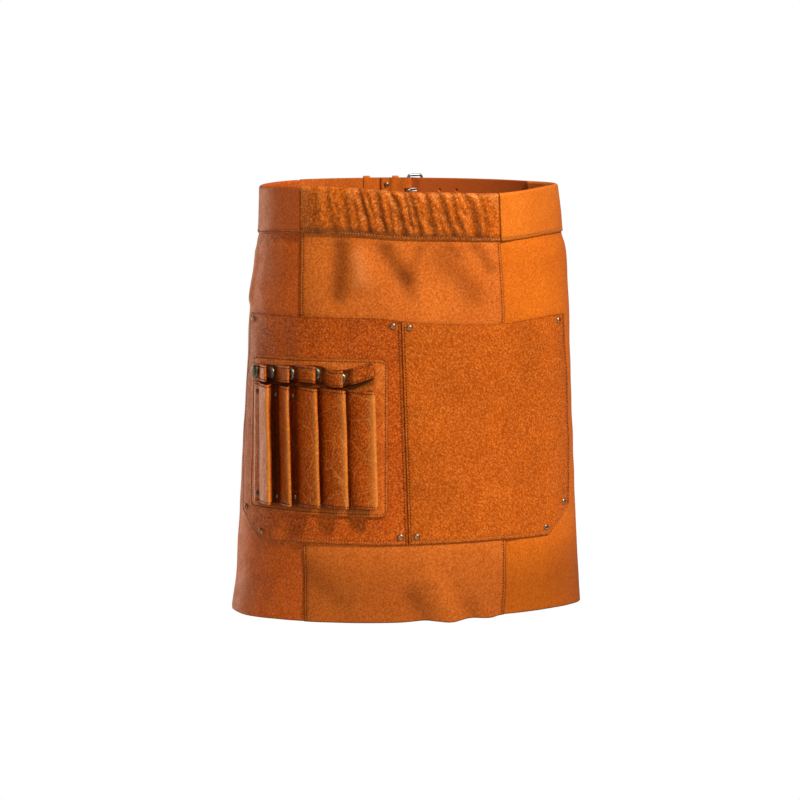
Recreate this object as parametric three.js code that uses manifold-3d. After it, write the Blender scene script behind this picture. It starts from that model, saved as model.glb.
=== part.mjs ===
// Short leather apron: a gathered waistband over a three panel skirt, two wide pockets,
// a tool holder of five upright tubes with a looped strap, and a buckled strap behind.
// Millimetres. +Z is up, the front faces -Y, and the origin is the middle of the waistband's ring.

import * as THREE from 'three';
import { mergeVertices } from 'three/addons/utils/BufferGeometryUtils.js';
import Module from 'manifold-3d';

const wasm = await Module();
wasm.setup();

// Driving sizes of the whole apron
const APRON_LENGTH = 480; // waistband top to hem
const WAIST_WIDTH = 332;
const WAIST_DEPTH = 212;
const BAND_HEIGHT = 53;
const BAND_REACH = 291; // along the leather, front middle to the waistband's end
const FRONT_PANEL_HALF = 114; // along the leather, front middle to a skirt seam
const LEATHER = 1.6;
const GAP = 0.35; // clearance between pieces that lie on each other
const SEAM_LAP = 10; // overlap of two skirt panels at their seam
const STEP_WIDTH = 20; // stretch over which a covering piece comes down past a seam
const BAND_GRIP = 12; // how far the skirt's top edge sits inside the waistband
const BAND_SLACK = 0.8; // room between the skirt and the waistband's inner leaf
const BACK_FLARE = 0.12; // widening of the side panels' back edge, per unit of drop
const FOLD_HEIGHT = 4;
const GATHER_PUFF = 2.6;

// Driving sizes of the pockets
const POCKET_DROP = 142; // waistband top to the pockets' top edge
const POCKET_HEIGHT = 249;
const POCKET_REACH = 213; // along the leather, front middle to a pocket's outer edge
const POCKET_LEATHER = 1.6;
const CHAMFER_WIDTH = 38;
const CHAMFER_HEIGHT = 30;
const POCKET_SEAM_START = 1.5; // sideways place of the middle seam at the pockets' top edge
const POCKET_SEAM_SHIFT = 9; // sideways run of the middle seam from its top to its foot

// Driving sizes of the tool holder
const PLATE_INSET = 24; // of the plate's left edge from the pocket's left edge
const PLATE_WIDTH = 177;
const PLATE_DROP = 45.5; // below the pockets' top edge
const PLATE_CLEARANCE = 30; // from the plate's lower edge to the pockets' lower edge
const PLATE_HEIGHT = POCKET_HEIGHT - PLATE_DROP - PLATE_CLEARANCE;
const PLATE_CORNER = 9;
const PLATE_LEATHER = 1.6;
const PLEAT_DROP = 32.3; // below the plate's top edge
const PLEAT_CLEARANCE = 9.8; // from the tubes' lower ends to the plate's lower edge
const PLEAT_TOP_SLOPE = -0.008; // rise of the tubes' upper ends per unit to the right
const PLEAT_FOOT_SLOPE = 0.018; // the same of their lower ends
const PLEAT_LEAN = 0.028; // run of the tubes to the right per unit of drop
const PLEAT_RISE = 17;
const PLEAT_FOOT = 10; // flat stretch between two tubes
const PLEAT_FOOT_BEFORE = 0.6; // share of it before the rivet
const PLEAT_LEATHER = 1.4;
const LOOP_DROP = 21; // from the plate's top edge to the middle of the looped strap
const LOOP_HEIGHT = 18.6;
const LOOP_RISE = 14;
const LOOP_FOOT = 21.6; // flat stretch under a press stud
const LOOP_FOOT_BEFORE = 0.612; // share of it before the stud's middle
const LOOP_LEATHER = 1.4;
const FOLD_RADIUS = 1.3;

// Driving sizes of the back closure
const STRAP_HEIGHT = 28;
const STRAP_LEATHER = 2;
const STRAP_TONGUE = 15; // stretch of a back strap inside the waistband's end
const STRAP_SHOULDER = 3; // stretch over which a strap widens outside the waistband's end
const STRAP_FOLD_BACK = 32; // from the buckle's bar to the end of the folded layer
const STRAP_TAIL = 60; // from the buckle's bar to the free tip
const STRAP_TIP = 14;
const STRAP_TIP_WIDTH = 0.25; // share of the strap's height left at its tip
const BUCKLE_WIRE = 3.2;
const BUCKLE_WIDTH = 15; // between the wires' middles
const BUCKLE_BAR_PLACE = 9.5; // sideways from the back middle
const BUCKLE_CORNER = 3;
const PRONG_WIRE = 2.2;
const PRONG_REACH = 3; // past the far wire
const SLOT_REACH = 0.75; // of the strap's hole from the bar, as a share of BUCKLE_WIDTH
const BUCKLE_ROOM = 1.4; // between the strap's edge and the wire

// Course of the prong round the bar, in degrees from the far wire's side
const PRONG_TURNS = [-200, -155, -110, -65, -20];
// Where the prong leaves the bar and crosses to the far wire. along: share of the distance to
// the far wire. up: share of the far wire's height with the prong on it.
const PRONG_COURSE = [
  { along: 0.26, up: 0.26 },
  { along: 0.62, up: 0.86 },
  { along: 1.00, up: 1.00 },
];
const KEEPER_WIDTH = 7.5;
const KEEPER_LEATHER = 1.2;
const KEEPER_PLACES = [15, 48]; // from the buckle's bar
const STRAP_RIVET_PLACE = 25; // from the buckle's bar
const STRAP_RIVET_INSET = 7.7; // from the strap's edge

// Driving sizes of the metal trim
const RIVET_DIAMETER = 7;
const RIVET_RISE = 1.8;
const RIVET_INSET = 9; // from a pocket's edges
const STRAP_RIVET_DIAMETER = 6.4;
const PLEAT_RIVET_DIAMETER = 5.4;
const PLEAT_RIVET_INSET = 11.5; // from the tubes' upper ends
const PLEAT_RIVET_OVER = 0.8; // share of it over their lower ends
const PLEAT_RIVET_RISE = 1.4;
const STUD_DIAMETER = 15;
const STUD_RISE = 3;
const DOME_SHOULDER = { across: 0.8, up: 0.65 }; // shares of a dome's radius and rise

// Places of the pockets' rivets, in from the outer edge, over the lower edge or below the top
// one. Each is a share of RIVET_INSET.
const RIVET_BELOW_TOP = 0.7;
const CORNER_HIGH_IN = 1.3;
const CORNER_HIGH_OVER = 1.45;
const CORNER_LOW_PAST = 0.4; // past the end of the cut off corner

// Fineness of the faceted walls
const COLUMN = 9;
const NARROW_COLUMN = 0.15; // least width of a column, as a share of COLUMN
const WIDE_COLUMN = 1.4; // widest column that isn't halved, as a share of COLUMN
const PLATE_CORNER_COLUMNS = [0.13, 0.5, 1]; // shares of PLATE_CORNER
const ROUND_SIDES = 8;
const STUD_SIDES = 10;
const FOLD_STEPS = 2;
const RING_STEPS = 144;
const EPSILON = 1e-6;

const BAND_TOP = BAND_HEIGHT / 2;
const BAND_FOOT = BAND_TOP - BAND_HEIGHT;
const HEM = BAND_TOP - APRON_LENGTH;
const POCKET_TOP = BAND_TOP - POCKET_DROP;
const SIDE_FACE = LEATHER; // outer face of a side panel
const FRONT_INNER = LEATHER + GAP;
const BAND_INNER = -BAND_SLACK - LEATHER; // body side of the waistband's inner leaf

// Level sections of the body of the skirt. drop: share of the apron's length below its top.
// left and right: half widths as shares of half the waist's width. front and back: half
// depths as shares of half the waist's depth.
const SECTIONS = [
  { drop: 0.000, left: 1.002, right: 0.994, front: 1.019, back: 0.981 },
  { drop: 0.060, left: 1.006, right: 1.016, front: 1.028, back: 0.991 },
  { drop: 0.110, left: 1.013, right: 1.030, front: 1.037, back: 1.008 },
  { drop: 0.135, left: 1.031, right: 1.054, front: 1.045, back: 1.018 },
  { drop: 0.165, left: 1.036, right: 1.066, front: 1.057, back: 1.028 },
  { drop: 0.260, left: 1.075, right: 1.081, front: 1.075, back: 1.057 },
  { drop: 0.400, left: 1.095, right: 1.093, front: 1.094, back: 1.094 },
  { drop: 0.600, left: 1.130, right: 1.115, front: 1.123, back: 1.132 },
  { drop: 0.800, left: 1.161, right: 1.139, front: 1.151, back: 1.170 },
  { drop: 0.930, left: 1.183, right: 1.159, front: 1.170, back: 1.198 },
  { drop: 1.000, left: 1.212, right: 1.172, front: 1.179, back: 1.208 },
];

// Skirt seams. left and right: distance from the front middle as shares of FRONT_PANEL_HALF.
const SEAMS = [
  { drop: 0.00, left: 1.022, right: 0.960 },
  { drop: 0.11, left: 1.020, right: 0.980 },
  { drop: 0.20, left: 1.017, right: 1.007 },
  { drop: 0.30, left: 1.014, right: 1.030 },
  { drop: 0.83, left: 0.976, right: 1.053 },
  { drop: 0.92, left: 0.967, right: 1.050 },
  { drop: 1.00, left: 0.959, right: 1.025 },
];

// How far the waistband rides up. across: share of BAND_REACH. lift: share of BAND_HEIGHT.
const BAND_LEVEL = [
  { across: -1.00, lift: 0.010 },
  { across: -0.65, lift: -0.010 },
  { across: -0.53, lift: 0.057 },
  { across: -0.40, lift: 0.090 },
  { across: -0.27, lift: 0.096 },
  { across: -0.13, lift: 0.072 },
  { across: 0.00, lift: 0.023 },
  { across: 0.19, lift: 0.000 },
  { across: 0.38, lift: -0.034 },
  { across: 0.49, lift: 0.000 },
  { across: 0.58, lift: 0.042 },
  { across: 0.68, lift: 0.057 },
  { across: 1.00, lift: 0.020 },
];

// How far the hem rides up. across: share of BAND_REACH. lift: share of APRON_LENGTH.
const HEM_LEVEL = [
  { across: -1.10, lift: -0.006 },
  { across: -0.82, lift: -0.0090 },
  { across: -0.67, lift: -0.0102 },
  { across: -0.51, lift: -0.0071 },
  { across: -0.31, lift: -0.0040 },
  { across: -0.12, lift: -0.0008 },
  { across: 0.00, lift: 0.0023 },
  { across: 0.10, lift: 0.0067 },
  { across: 0.15, lift: 0.0048 },
  { across: 0.20, lift: 0.0035 },
  { across: 0.27, lift: 0.0110 },
  { across: 0.35, lift: 0.0106 },
  { across: 0.39, lift: 0.0158 },
  { across: 0.47, lift: 0.0179 },
  { across: 0.70, lift: 0.0200 },
  { across: 1.10, lift: 0.0130 },
];

// How far the pockets' edges ride up. across: share of POCKET_REACH. top and bottom: shares
// of POCKET_HEIGHT.
const POCKET_LEVEL = [
  { across: -1.00, top: -0.004, bottom: -0.020 },
  { across: -0.82, top: -0.001, bottom: -0.017 },
  { across: -0.66, top: 0.003, bottom: -0.014 },
  { across: -0.31, top: 0.009, bottom: -0.008 },
  { across: -0.10, top: 0.010, bottom: -0.006 },
  { across: -0.01, top: 0.001, bottom: -0.003 },
  { across: 0.17, top: -0.010, bottom: 0.003 },
  { across: 0.52, top: -0.018, bottom: 0.015 },
  { across: 0.68, top: -0.006, bottom: 0.015 },
  { across: 0.83, top: 0.003, bottom: 0.018 },
  { across: 1.00, top: 0.006, bottom: 0.022 },
];

// Pocket outer edges. down: share of POCKET_HEIGHT. reach: share of POCKET_REACH.
const POCKET_SIDES = [
  { down: 0.00, left: 0.948, right: 0.962 },
  { down: 0.12, left: 0.971, right: 0.975 },
  { down: 0.27, left: 0.983, right: 1.000 },
  { down: 0.40, left: 1.000, right: 1.002 },
  { down: 0.75, left: 1.005, right: 1.008 },
  { down: 1.00, left: 0.990, right: 0.990 },
];

// Folds and dents of the skirt, each along a line. across, to_across and spread: shares of
// FRONT_PANEL_HALF. drop and to_drop: shares of APRON_LENGTH. height: share of FOLD_HEIGHT,
// below zero for a dent.
const FOLDS = [
  { across: -0.60, drop: 0.130, to_across: -0.63, to_drop: 0.240, spread: 0.10, height: -0.85 },
  { across: -0.43, drop: 0.150, to_across: -0.38, to_drop: 0.200, spread: 0.10, height: 0.65 },
  { across: -0.16, drop: 0.135, to_across: 0.05, to_drop: 0.200, spread: 0.09, height: -0.75 },
  { across: 0.38, drop: 0.150, to_across: 0.70, to_drop: 0.240, spread: 0.12, height: -0.45 },
  { across: -1.78, drop: 0.160, to_across: -1.86, to_drop: 0.265, spread: 0.07, height: 0.90 },
  { across: -1.98, drop: 0.150, to_across: -2.02, to_drop: 0.250, spread: 0.10, height: -0.60 },
  { across: 0.12, drop: 0.940, to_across: 0.24, to_drop: 0.985, spread: 0.10, height: -0.90 },
  { across: 0.34, drop: 0.900, to_across: 0.52, to_drop: 1.000, spread: 0.10, height: 0.75 },
  { across: 0.68, drop: 0.960, to_across: 0.74, to_drop: 1.000, spread: 0.08, height: -0.50 },
  { across: -0.90, drop: 0.900, to_across: -0.60, to_drop: 0.960, spread: 0.14, height: -0.45 },
];

// Valleys between the waistband's gathers. across: share of FRONT_PANEL_HALF at half the
// band's height. depth: share of GATHER_PUFF. lean: sideways run over the band's height, as a
// share of that height.
const GATHERS = [
  { across: -0.84, depth: 0.30, lean: 0.10 },
  { across: -0.69, depth: 0.45, lean: 0.16 },
  { across: -0.52, depth: 0.45, lean: 0.20 },
  { across: -0.34, depth: 0.80, lean: 0.24 },
  { across: -0.18, depth: 0.85, lean: 0.26 },
  { across: -0.01, depth: 0.95, lean: 0.30 },
  { across: 0.15, depth: 0.95, lean: 0.28 },
  { across: 0.29, depth: 0.90, lean: 0.22 },
  { across: 0.44, depth: 0.90, lean: 0.34 },
  { across: 0.55, depth: 0.85, lean: 0.30 },
  { across: 0.70, depth: 0.95, lean: 0.34 },
  { across: 0.82, depth: 0.70, lean: 0.24 },
];
const GATHER_SPREAD = 0.04; // half width of a valley, as a share of FRONT_PANEL_HALF

// Tubes of the tool holder. foot: where a tube starts, ridge: its highest line, as shares of
// the plate's width from its left edge.
const PLEATS = [
  { foot: 0.068, ridge: 0.253 },
  { foot: 0.236, ridge: 0.406 },
  { foot: 0.375, ridge: 0.601 },
  { foot: 0.532, ridge: 0.775 },
  { foot: 0.709, ridge: 0.944 },
];
const PLEAT_END = 0.905;

// Loops of the strap above the tubes. stud: the press stud's place, ridge: the loop's highest
// line, as shares of the plate's width. lift: share of the strap's height.
const LOOPS = [
  { stud: 0.051, ridge: 0.235, lift: 0.00 },
  { stud: 0.195, ridge: 0.420, lift: 0.04 },
  { stud: 0.356, ridge: 0.597, lift: 0.12 },
  { stud: 0.537, ridge: 0.769, lift: 0.22 },
  { stud: 0.703, ridge: 0.805, lift: 0.00 },
];
const LOOP_END = { across: 0.915, lift: 0.59 };
const LOOP_LAST_RISE = 0.35; // rise of the strap's last stretch, as a share of LOOP_RISE
const FACE_BOW = 0.62; // height of a tube's face halfway to its ridge, as a share of its rise

const MATERIALS = {
  front: { color: 0xc8641e, roughness: 0.55, metalness: 0 },
  side_left: { color: 0xb0562a, roughness: 0.5, metalness: 0 },
  side_right: { color: 0xd4702a, roughness: 0.55, metalness: 0 },
  band: { color: 0xc66a26, roughness: 0.5, metalness: 0 },
  strap: { color: 0xa8521e, roughness: 0.6, metalness: 0 },
  pocket: { color: 0xbf5a1a, roughness: 0.5, metalness: 0 },
  holder: { color: 0xb8601f, roughness: 0.4, metalness: 0 },
  rivet: { color: 0x7a6a55, roughness: 0.35, metalness: 1 },
  stud: { color: 0x8a7350, roughness: 0.35, metalness: 1 },
  buckle: { color: 0xc9c9c6, roughness: 0.2, metalness: 1 },
};

const apron = new THREE.Group();

function clamp(value, low, high) {
  return Math.min(Math.max(value, low), high);
}

function mix(a, b, t) {
  return a + (b - a) * t;
}

function smooth(t) {
  const share = clamp(t, 0, 1);
  return share * share * (3 - 2 * share);
}

// Smooth value of one column of a table, between its rows sorted by another column
function follow(rows, key, column, x) {
  const last = rows.length - 1;
  if (x <= rows[0][key]) return rows[0][column];
  if (x >= rows[last][key]) return rows[last][column];
  const i = rows.findIndex((row, index) => index > 0 && x <= row[key]) - 1;
  const slope = (k) => {
    const low = Math.max(k - 1, 0);
    const high = Math.min(k + 1, last);
    return (rows[high][column] - rows[low][column]) / (rows[high][key] - rows[low][key]);
  };
  const width = rows[i + 1][key] - rows[i][key];
  const t = (x - rows[i][key]) / width;
  const start = (1 + 2 * t) * (1 - t) ** 2 * rows[i][column] + t * (1 - t) ** 2 * width * slope(i);
  const end = t * t * (3 - 2 * t) * rows[i + 1][column] + t * t * (t - 1) * width * slope(i + 1);
  return start + end;
}

function dropAt(z) {
  return (BAND_TOP - z) / APRON_LENGTH;
}

// One level ring of the skirt, with the length along it from the front middle
const rings = new Map();
function ringAt(z) {
  const key = z.toFixed(3);
  if (rings.has(key)) return rings.get(key);
  const drop = dropAt(z);
  const half = (column, size) => follow(SECTIONS, 'drop', column, drop) * size / 2;
  const ring = {
    left: half('left', WAIST_WIDTH),
    right: half('right', WAIST_WIDTH),
    front: half('front', WAIST_DEPTH),
    back: half('back', WAIST_DEPTH),
    lengths: [0],
  };
  let previous = ringPoint(ring, -Math.PI);
  for (let step = 1; step <= RING_STEPS; step++) {
    const next = ringPoint(ring, (2 * step / RING_STEPS - 1) * Math.PI);
    ring.lengths.push(ring.lengths[step - 1] + Math.hypot(next.x - previous.x, next.y - previous.y));
    previous = next;
  }
  ring.front_length = ring.lengths[RING_STEPS / 2];
  ring.girth = ring.lengths[RING_STEPS];
  rings.set(key, ring);
  return ring;
}

function ringPoint(ring, angle) {
  const width = Math.sin(angle) < 0 ? ring.left : ring.right;
  const depth = Math.cos(angle) > 0 ? ring.front : ring.back;
  const x = width * Math.sin(angle);
  const y = -depth * Math.cos(angle);
  const across = depth * Math.sin(angle);
  const along = -width * Math.cos(angle);
  const size = Math.hypot(across, along);
  return { x, y, nx: across / size, ny: along / size };
}

// Point at a length u along the ring from the front middle, to the right, and out by d
function place(u, z, d) {
  const ring = ringAt(z);
  let length = ring.front_length + u;
  let turn = 0;
  if (length > ring.girth) {
    length -= ring.girth;
    turn = 2 * Math.PI;
  }
  if (length < 0) {
    length += ring.girth;
    turn = -2 * Math.PI;
  }
  let low = 0;
  let high = RING_STEPS;
  while (high - low > 1) {
    const middle = (low + high) >> 1;
    if (ring.lengths[middle] <= length) low = middle;
    else high = middle;
  }
  const share = (length - ring.lengths[low]) / (ring.lengths[high] - ring.lengths[low]);
  const angle = (2 * (low + share) / RING_STEPS - 1) * Math.PI + turn;
  const point = ringPoint(ring, angle);
  return new THREE.Vector3(point.x + d * point.nx, point.y + d * point.ny, z);
}

// Height of the folds and dents at a place on the skirt
function foldHeight(u, z) {
  let height = 0;
  for (const fold of FOLDS) {
    const ax = fold.across * FRONT_PANEL_HALF;
    const az = BAND_TOP - fold.drop * APRON_LENGTH;
    const bx = fold.to_across * FRONT_PANEL_HALF;
    const bz = BAND_TOP - fold.to_drop * APRON_LENGTH;
    const run = (bx - ax) ** 2 + (bz - az) ** 2;
    const t = clamp(((u - ax) * (bx - ax) + (z - az) * (bz - az)) / run, 0, 1);
    const away = Math.hypot(u - mix(ax, bx, t), z - mix(az, bz, t));
    height += fold.height * Math.exp(-((away / (fold.spread * FRONT_PANEL_HALF)) ** 2));
  }
  const below_band = smooth((bandBottom(u) - z) / (BAND_HEIGHT / 4));
  return height * FOLD_HEIGHT * below_band;
}

function skirt(u, z, d) {
  return place(u, z, d + foldHeight(u, z));
}

function seamLine(side, z) {
  const reach = follow(SEAMS, 'drop', side, dropAt(z)) * FRONT_PANEL_HALF;
  return side === 'left' ? -reach : reach;
}

// Outer face of the skirt: two layers between its seams, one beyond them
function skirtFace(u, z) {
  const beyond = Math.max(seamLine('left', z) - u, u - seamLine('right', z)) - GAP;
  return SIDE_FACE + (LEATHER + GAP) * (1 - clamp(beyond / STEP_WIDTH, 0, 1));
}

function pocketInner(u, z) {
  return skirtFace(u, z) + GAP;
}

function plateInner(u, z) {
  return pocketInner(u, z) + POCKET_LEATHER + GAP;
}

function plateFace(u, z) {
  return plateInner(u, z) + PLATE_LEATHER;
}

function bandLift(u) {
  return follow(BAND_LEVEL, 'across', 'lift', u / BAND_REACH) * BAND_HEIGHT;
}

function bandBottom(u) {
  return BAND_FOOT + bandLift(u);
}

function hem(u) {
  return HEM + follow(HEM_LEVEL, 'across', 'lift', u / BAND_REACH) * APRON_LENGTH;
}

function pocketTop(u) {
  return POCKET_TOP + follow(POCKET_LEVEL, 'across', 'top', u / POCKET_REACH) * POCKET_HEIGHT;
}

function pocketBottom(u) {
  const lift = follow(POCKET_LEVEL, 'across', 'bottom', u / POCKET_REACH) * POCKET_HEIGHT;
  return POCKET_TOP - POCKET_HEIGHT + lift;
}

function pocketEdge(side, z) {
  const down = (POCKET_TOP - z) / POCKET_HEIGHT;
  const reach = follow(POCKET_SIDES, 'down', side, down) * POCKET_REACH;
  return side === 'left' ? -reach : reach;
}

function pocketSeam(z) {
  const down = (POCKET_TOP - z) / POCKET_HEIGHT;
  return POCKET_SEAM_START + POCKET_SEAM_SHIFT * down;
}

// Lines up a wall's columns: its two edges, lines of its own, and the shared lattice between
// them, so that facets of pieces on each other run alike
function columnLines(start, end, own = [], spacing = COLUMN) {
  const lines = [start, ...own, end];
  const middle = (BAND_TOP + HEM) / 2;
  const levels = [BAND_TOP, middle, HEM];
  const clear = (line) => lines.every((other) => levels.every((z) => (
    Math.abs(other(z) - line) > NARROW_COLUMN * spacing && (other(z) > line) === (other(middle) > line)
  )));
  for (let line = Math.ceil(start(middle) / spacing) * spacing; line < end(middle); line += spacing) {
    if (clear(line)) lines.push(() => line);
  }
  lines.sort((a, b) => a(middle) - b(middle));
  return lines.flatMap((line, k) => {
    const next = lines[k + 1];
    const wide = next && levels.some((z) => next(z) - line(z) > WIDE_COLUMN * spacing);
    return wide ? [line, (z) => (line(z) + next(z)) / 2] : [line];
  });
}

// Lines where a piece that covers a skirt seam starts and ends its way down
function stepLines(side) {
  const away = side === 'left' ? -1 : 1;
  return [
    (z) => seamLine(side, z) + away * GAP,
    (z) => seamLine(side, z) + away * (GAP + STEP_WIDTH),
  ];
}

// Closed wall between two grids of points: point(i, j, face) with face 0 or 1
function wall(columns, rows, point) {
  const positions = [];
  const index = [];
  const stride = rows + 1;
  const size = (columns + 1) * stride;
  for (let face = 0; face < 2; face++) {
    for (let i = 0; i <= columns; i++) {
      for (let j = 0; j <= rows; j++) positions.push(...point(i, j, face).toArray());
    }
  }
  const at = (i, j, face) => face * size + i * stride + j;
  const quad = (a, b, c, d) => index.push(a, b, c, a, c, d);
  for (let i = 0; i < columns; i++) {
    for (let j = 0; j < rows; j++) {
      quad(at(i, j, 0), at(i + 1, j, 0), at(i + 1, j + 1, 0), at(i, j + 1, 0));
      quad(at(i, j, 1), at(i, j + 1, 1), at(i + 1, j + 1, 1), at(i + 1, j, 1));
    }
    quad(at(i, 0, 1), at(i + 1, 0, 1), at(i + 1, 0, 0), at(i, 0, 0));
    quad(at(i, rows, 0), at(i + 1, rows, 0), at(i + 1, rows, 1), at(i, rows, 1));
  }
  for (let j = 0; j < rows; j++) {
    quad(at(0, j, 0), at(0, j + 1, 0), at(0, j + 1, 1), at(0, j, 1));
    quad(at(columns, j, 1), at(columns, j + 1, 1), at(columns, j + 1, 0), at(columns, j, 0));
  }
  return solidGeometry(positions, index);
}

// Geometry whose faces point out, whichever way its grid ran
function solidGeometry(positions, index) {
  let volume = 0;
  const corner = (k) => new THREE.Vector3(positions[3 * k], positions[3 * k + 1], positions[3 * k + 2]);
  for (let k = 0; k < index.length; k += 3) {
    volume += corner(index[k]).dot(corner(index[k + 1]).cross(corner(index[k + 2])));
  }
  if (volume < 0) {
    for (let k = 0; k < index.length; k += 3) [index[k + 1], index[k + 2]] = [index[k + 2], index[k + 1]];
  }
  const geometry = new THREE.BufferGeometry();
  geometry.setAttribute('position', new THREE.Float32BufferAttribute(positions, 3));
  geometry.setIndex(index);
  geometry.computeVertexNormals();
  return geometry;
}

function add(name, geometry, material, position, quaternion) {
  const mesh = new THREE.Mesh(geometry, new THREE.MeshStandardMaterial(MATERIALS[material]));
  mesh.name = name;
  if (position) mesh.position.copy(position);
  if (quaternion) mesh.quaternion.copy(quaternion);
  apron.add(mesh);
  return mesh;
}

// Levels of a sheet between two outlines, each a function of the place across
function levelsBetween(low, high, rows) {
  return Array.from({ length: rows + 1 }, (_, j) => ((u) => mix(low(u), high(u), j / rows)));
}

// Height at which a column, a function of height, meets a level, a function of the place across
function meet(line, level) {
  let z = level(line(0));
  for (let pass = 0; pass < 3; pass++) z = level(line(z));
  return z;
}

// Sheet on the skirt through given columns and levels. inner: its body side face.
function sheet(lines, levels, inner, thickness) {
  return wall(lines.length - 1, levels.length - 1, (i, j, face) => {
    const z = meet(lines[i], levels[j]);
    const u = lines[i](z);
    return skirt(u, z, inner(u, z) + face * thickness);
  });
}

// Levels of a skirt panel: hem, pockets' lower and upper edges, waistband, and its own top
// edge inside the waistband
const PANEL_LEVELS = [
  ...levelsBetween(hem, pocketBottom, 3),
  ...levelsBetween(pocketBottom, pocketTop, 3).slice(1),
  ...levelsBetween(pocketTop, bandBottom, 3).slice(1),
  (u) => bandBottom(u) + BAND_GRIP,
];

function addFrontPanel() {
  const lines = columnLines((z) => seamLine('left', z), (z) => seamLine('right', z));
  add('front_panel', sheet(lines, PANEL_LEVELS, () => FRONT_INNER, LEATHER), 'front');
}

function addSidePanel(side) {
  const away = side === 'left' ? -1 : 1;
  const front_edge = (z) => seamLine(side, z) - away * SEAM_LAP;
  const back_edge = (z) => away * (BAND_REACH + BACK_FLARE * Math.max(bandBottom(0) - z, 0));
  const fan = POCKET_REACH + 2 * COLUMN; // where the columns start to spread to the back edge
  const edges = [front_edge, () => away * fan];
  const lines = side === 'left' ? columnLines(edges[1], edges[0]) : columnLines(...edges);
  const fan_columns = Math.round((BAND_REACH - fan) / COLUMN);
  const fanned = Array.from({ length: fan_columns }, (_, k) => (
    (z) => mix(away * fan, back_edge(z), (k + 1) / fan_columns)
  ));
  const all = side === 'left' ? [...fanned.reverse(), ...lines] : [...lines, ...fanned];
  add(`side_panel_${side}`, sheet(all, PANEL_LEVELS, () => 0, LEATHER), `side_${side}`);
}

// Outward swell of the gathered front of the waistband, at a height share from 0 to 1
function gatherPuff(u, share) {
  const reach = u < 0 ? -seamLine('left', 0) : seamLine('right', 0);
  const fade = smooth((reach - Math.abs(u)) / (0.2 * FRONT_PANEL_HALF));
  let valley = 0;
  for (const gather of GATHERS) {
    const middle = gather.across * FRONT_PANEL_HALF + gather.lean * (0.5 - share) * BAND_HEIGHT;
    valley += gather.depth * Math.exp(-(((u - middle) / (GATHER_SPREAD * FRONT_PANEL_HALF)) ** 2));
  }
  const height_fade = smooth(share / 0.25) * mix(1, 0.55, smooth((share - 0.7) / 0.3));
  return GATHER_PUFF * fade * height_fade * clamp(1 - valley, 0, 1);
}

// Folded casing of the waistband: outer leaf up, over the top and down the inner leaf
function bandWall(lines, leaf_rows, gathered) {
  const arc_rows = 3;
  const inner_rows = 1;
  const rows = leaf_rows + arc_rows + inner_rows;
  return wall(lines.length - 1, rows, (i, j, face) => {
    const line = lines[i];
    const inset = face * LEATHER;
    const outer = (u, z, share) => (
      skirtFace(u, z) + GAP + LEATHER + (gathered ? gatherPuff(u, share) : 0)
    );
    const top = meet(line, (u) => bandBottom(u) + BAND_HEIGHT);
    const radius = (outer(line(top), top, 1) - BAND_INNER) / 2;
    const straight = BAND_HEIGHT - radius;
    if (j < leaf_rows) {
      const share = j / leaf_rows * straight / BAND_HEIGHT;
      const z = meet(line, (u) => bandBottom(u) + share * BAND_HEIGHT);
      return place(line(z), z, outer(line(z), z, share) - inset);
    }
    if (j > leaf_rows + arc_rows) {
      const share = (rows - j) / inner_rows;
      const z = meet(line, (u) => bandBottom(u) + share * straight);
      return place(line(z), z, BAND_INNER + inset);
    }
    const angle = (j - leaf_rows) / arc_rows * Math.PI;
    const d = BAND_INNER + radius + (radius - inset) * Math.cos(angle);
    const rise = straight + (radius - inset) * Math.sin(angle);
    const z = meet(line, (u) => bandBottom(u) + rise);
    return place(line(z), z, d);
  });
}

function addWaistband() {
  const half_gap = GAP / 2;
  const left = (z) => seamLine('left', z);
  const right = (z) => seamLine('right', z);
  const front_lines = columnLines((z) => left(z) + half_gap, (z) => right(z) - half_gap, [], COLUMN / 2);
  add('waistband_front', bandWall(front_lines, 4, true), 'band');
  const left_lines = columnLines(() => -BAND_REACH, (z) => left(z) - half_gap, stepLines('left'));
  const right_lines = columnLines((z) => right(z) + half_gap, () => BAND_REACH, stepLines('right'));
  add('waistband_left', bandWall(left_lines, 2, false), 'band');
  add('waistband_right', bandWall(right_lines, 2, false), 'band');
}

// Lower outline of a pocket, with its outer corner cut off
function pocketLow(side, u) {
  const away = side === 'left' ? -1 : 1;
  const outer = away * POCKET_REACH;
  const inward = Math.abs(outer - u);
  return pocketBottom(u) + CHAMFER_HEIGHT * Math.max(1 - inward / CHAMFER_WIDTH, 0);
}

function addPocket(side) {
  const away = side === 'left' ? -1 : 1;
  const outer_edge = (z) => pocketEdge(side, z);
  const inner_edge = (z) => pocketSeam(z) + away * GAP / 2;
  const own = [...stepLines(side), () => away * (POCKET_REACH - CHAMFER_WIDTH)];
  const start = side === 'left' ? outer_edge : inner_edge;
  const end = side === 'left' ? inner_edge : outer_edge;
  const lines = columnLines(start, end, own);
  const levels = levelsBetween((u) => pocketLow(side, u), pocketTop, 7);
  add(`pocket_${side}`, sheet(lines, levels, pocketInner, POCKET_LEATHER), 'pocket');
}

function plateU(share) {
  return -POCKET_REACH + PLATE_INSET + share * PLATE_WIDTH;
}

// Height taken off the plate's outline where its corners round off
function cornerDrop(u) {
  const edge = Math.min(u - plateU(0), plateU(1) - u);
  if (edge >= PLATE_CORNER) return 0;
  const inside = PLATE_CORNER - Math.max(edge, 0);
  return PLATE_CORNER - Math.sqrt(Math.max(PLATE_CORNER ** 2 - inside ** 2, 0));
}

function plateTop(u) {
  return pocketTop(u) - PLATE_DROP - cornerDrop(u);
}

function plateBottom(u) {
  return POCKET_TOP - PLATE_DROP - PLATE_HEIGHT + cornerDrop(u);
}

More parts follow.
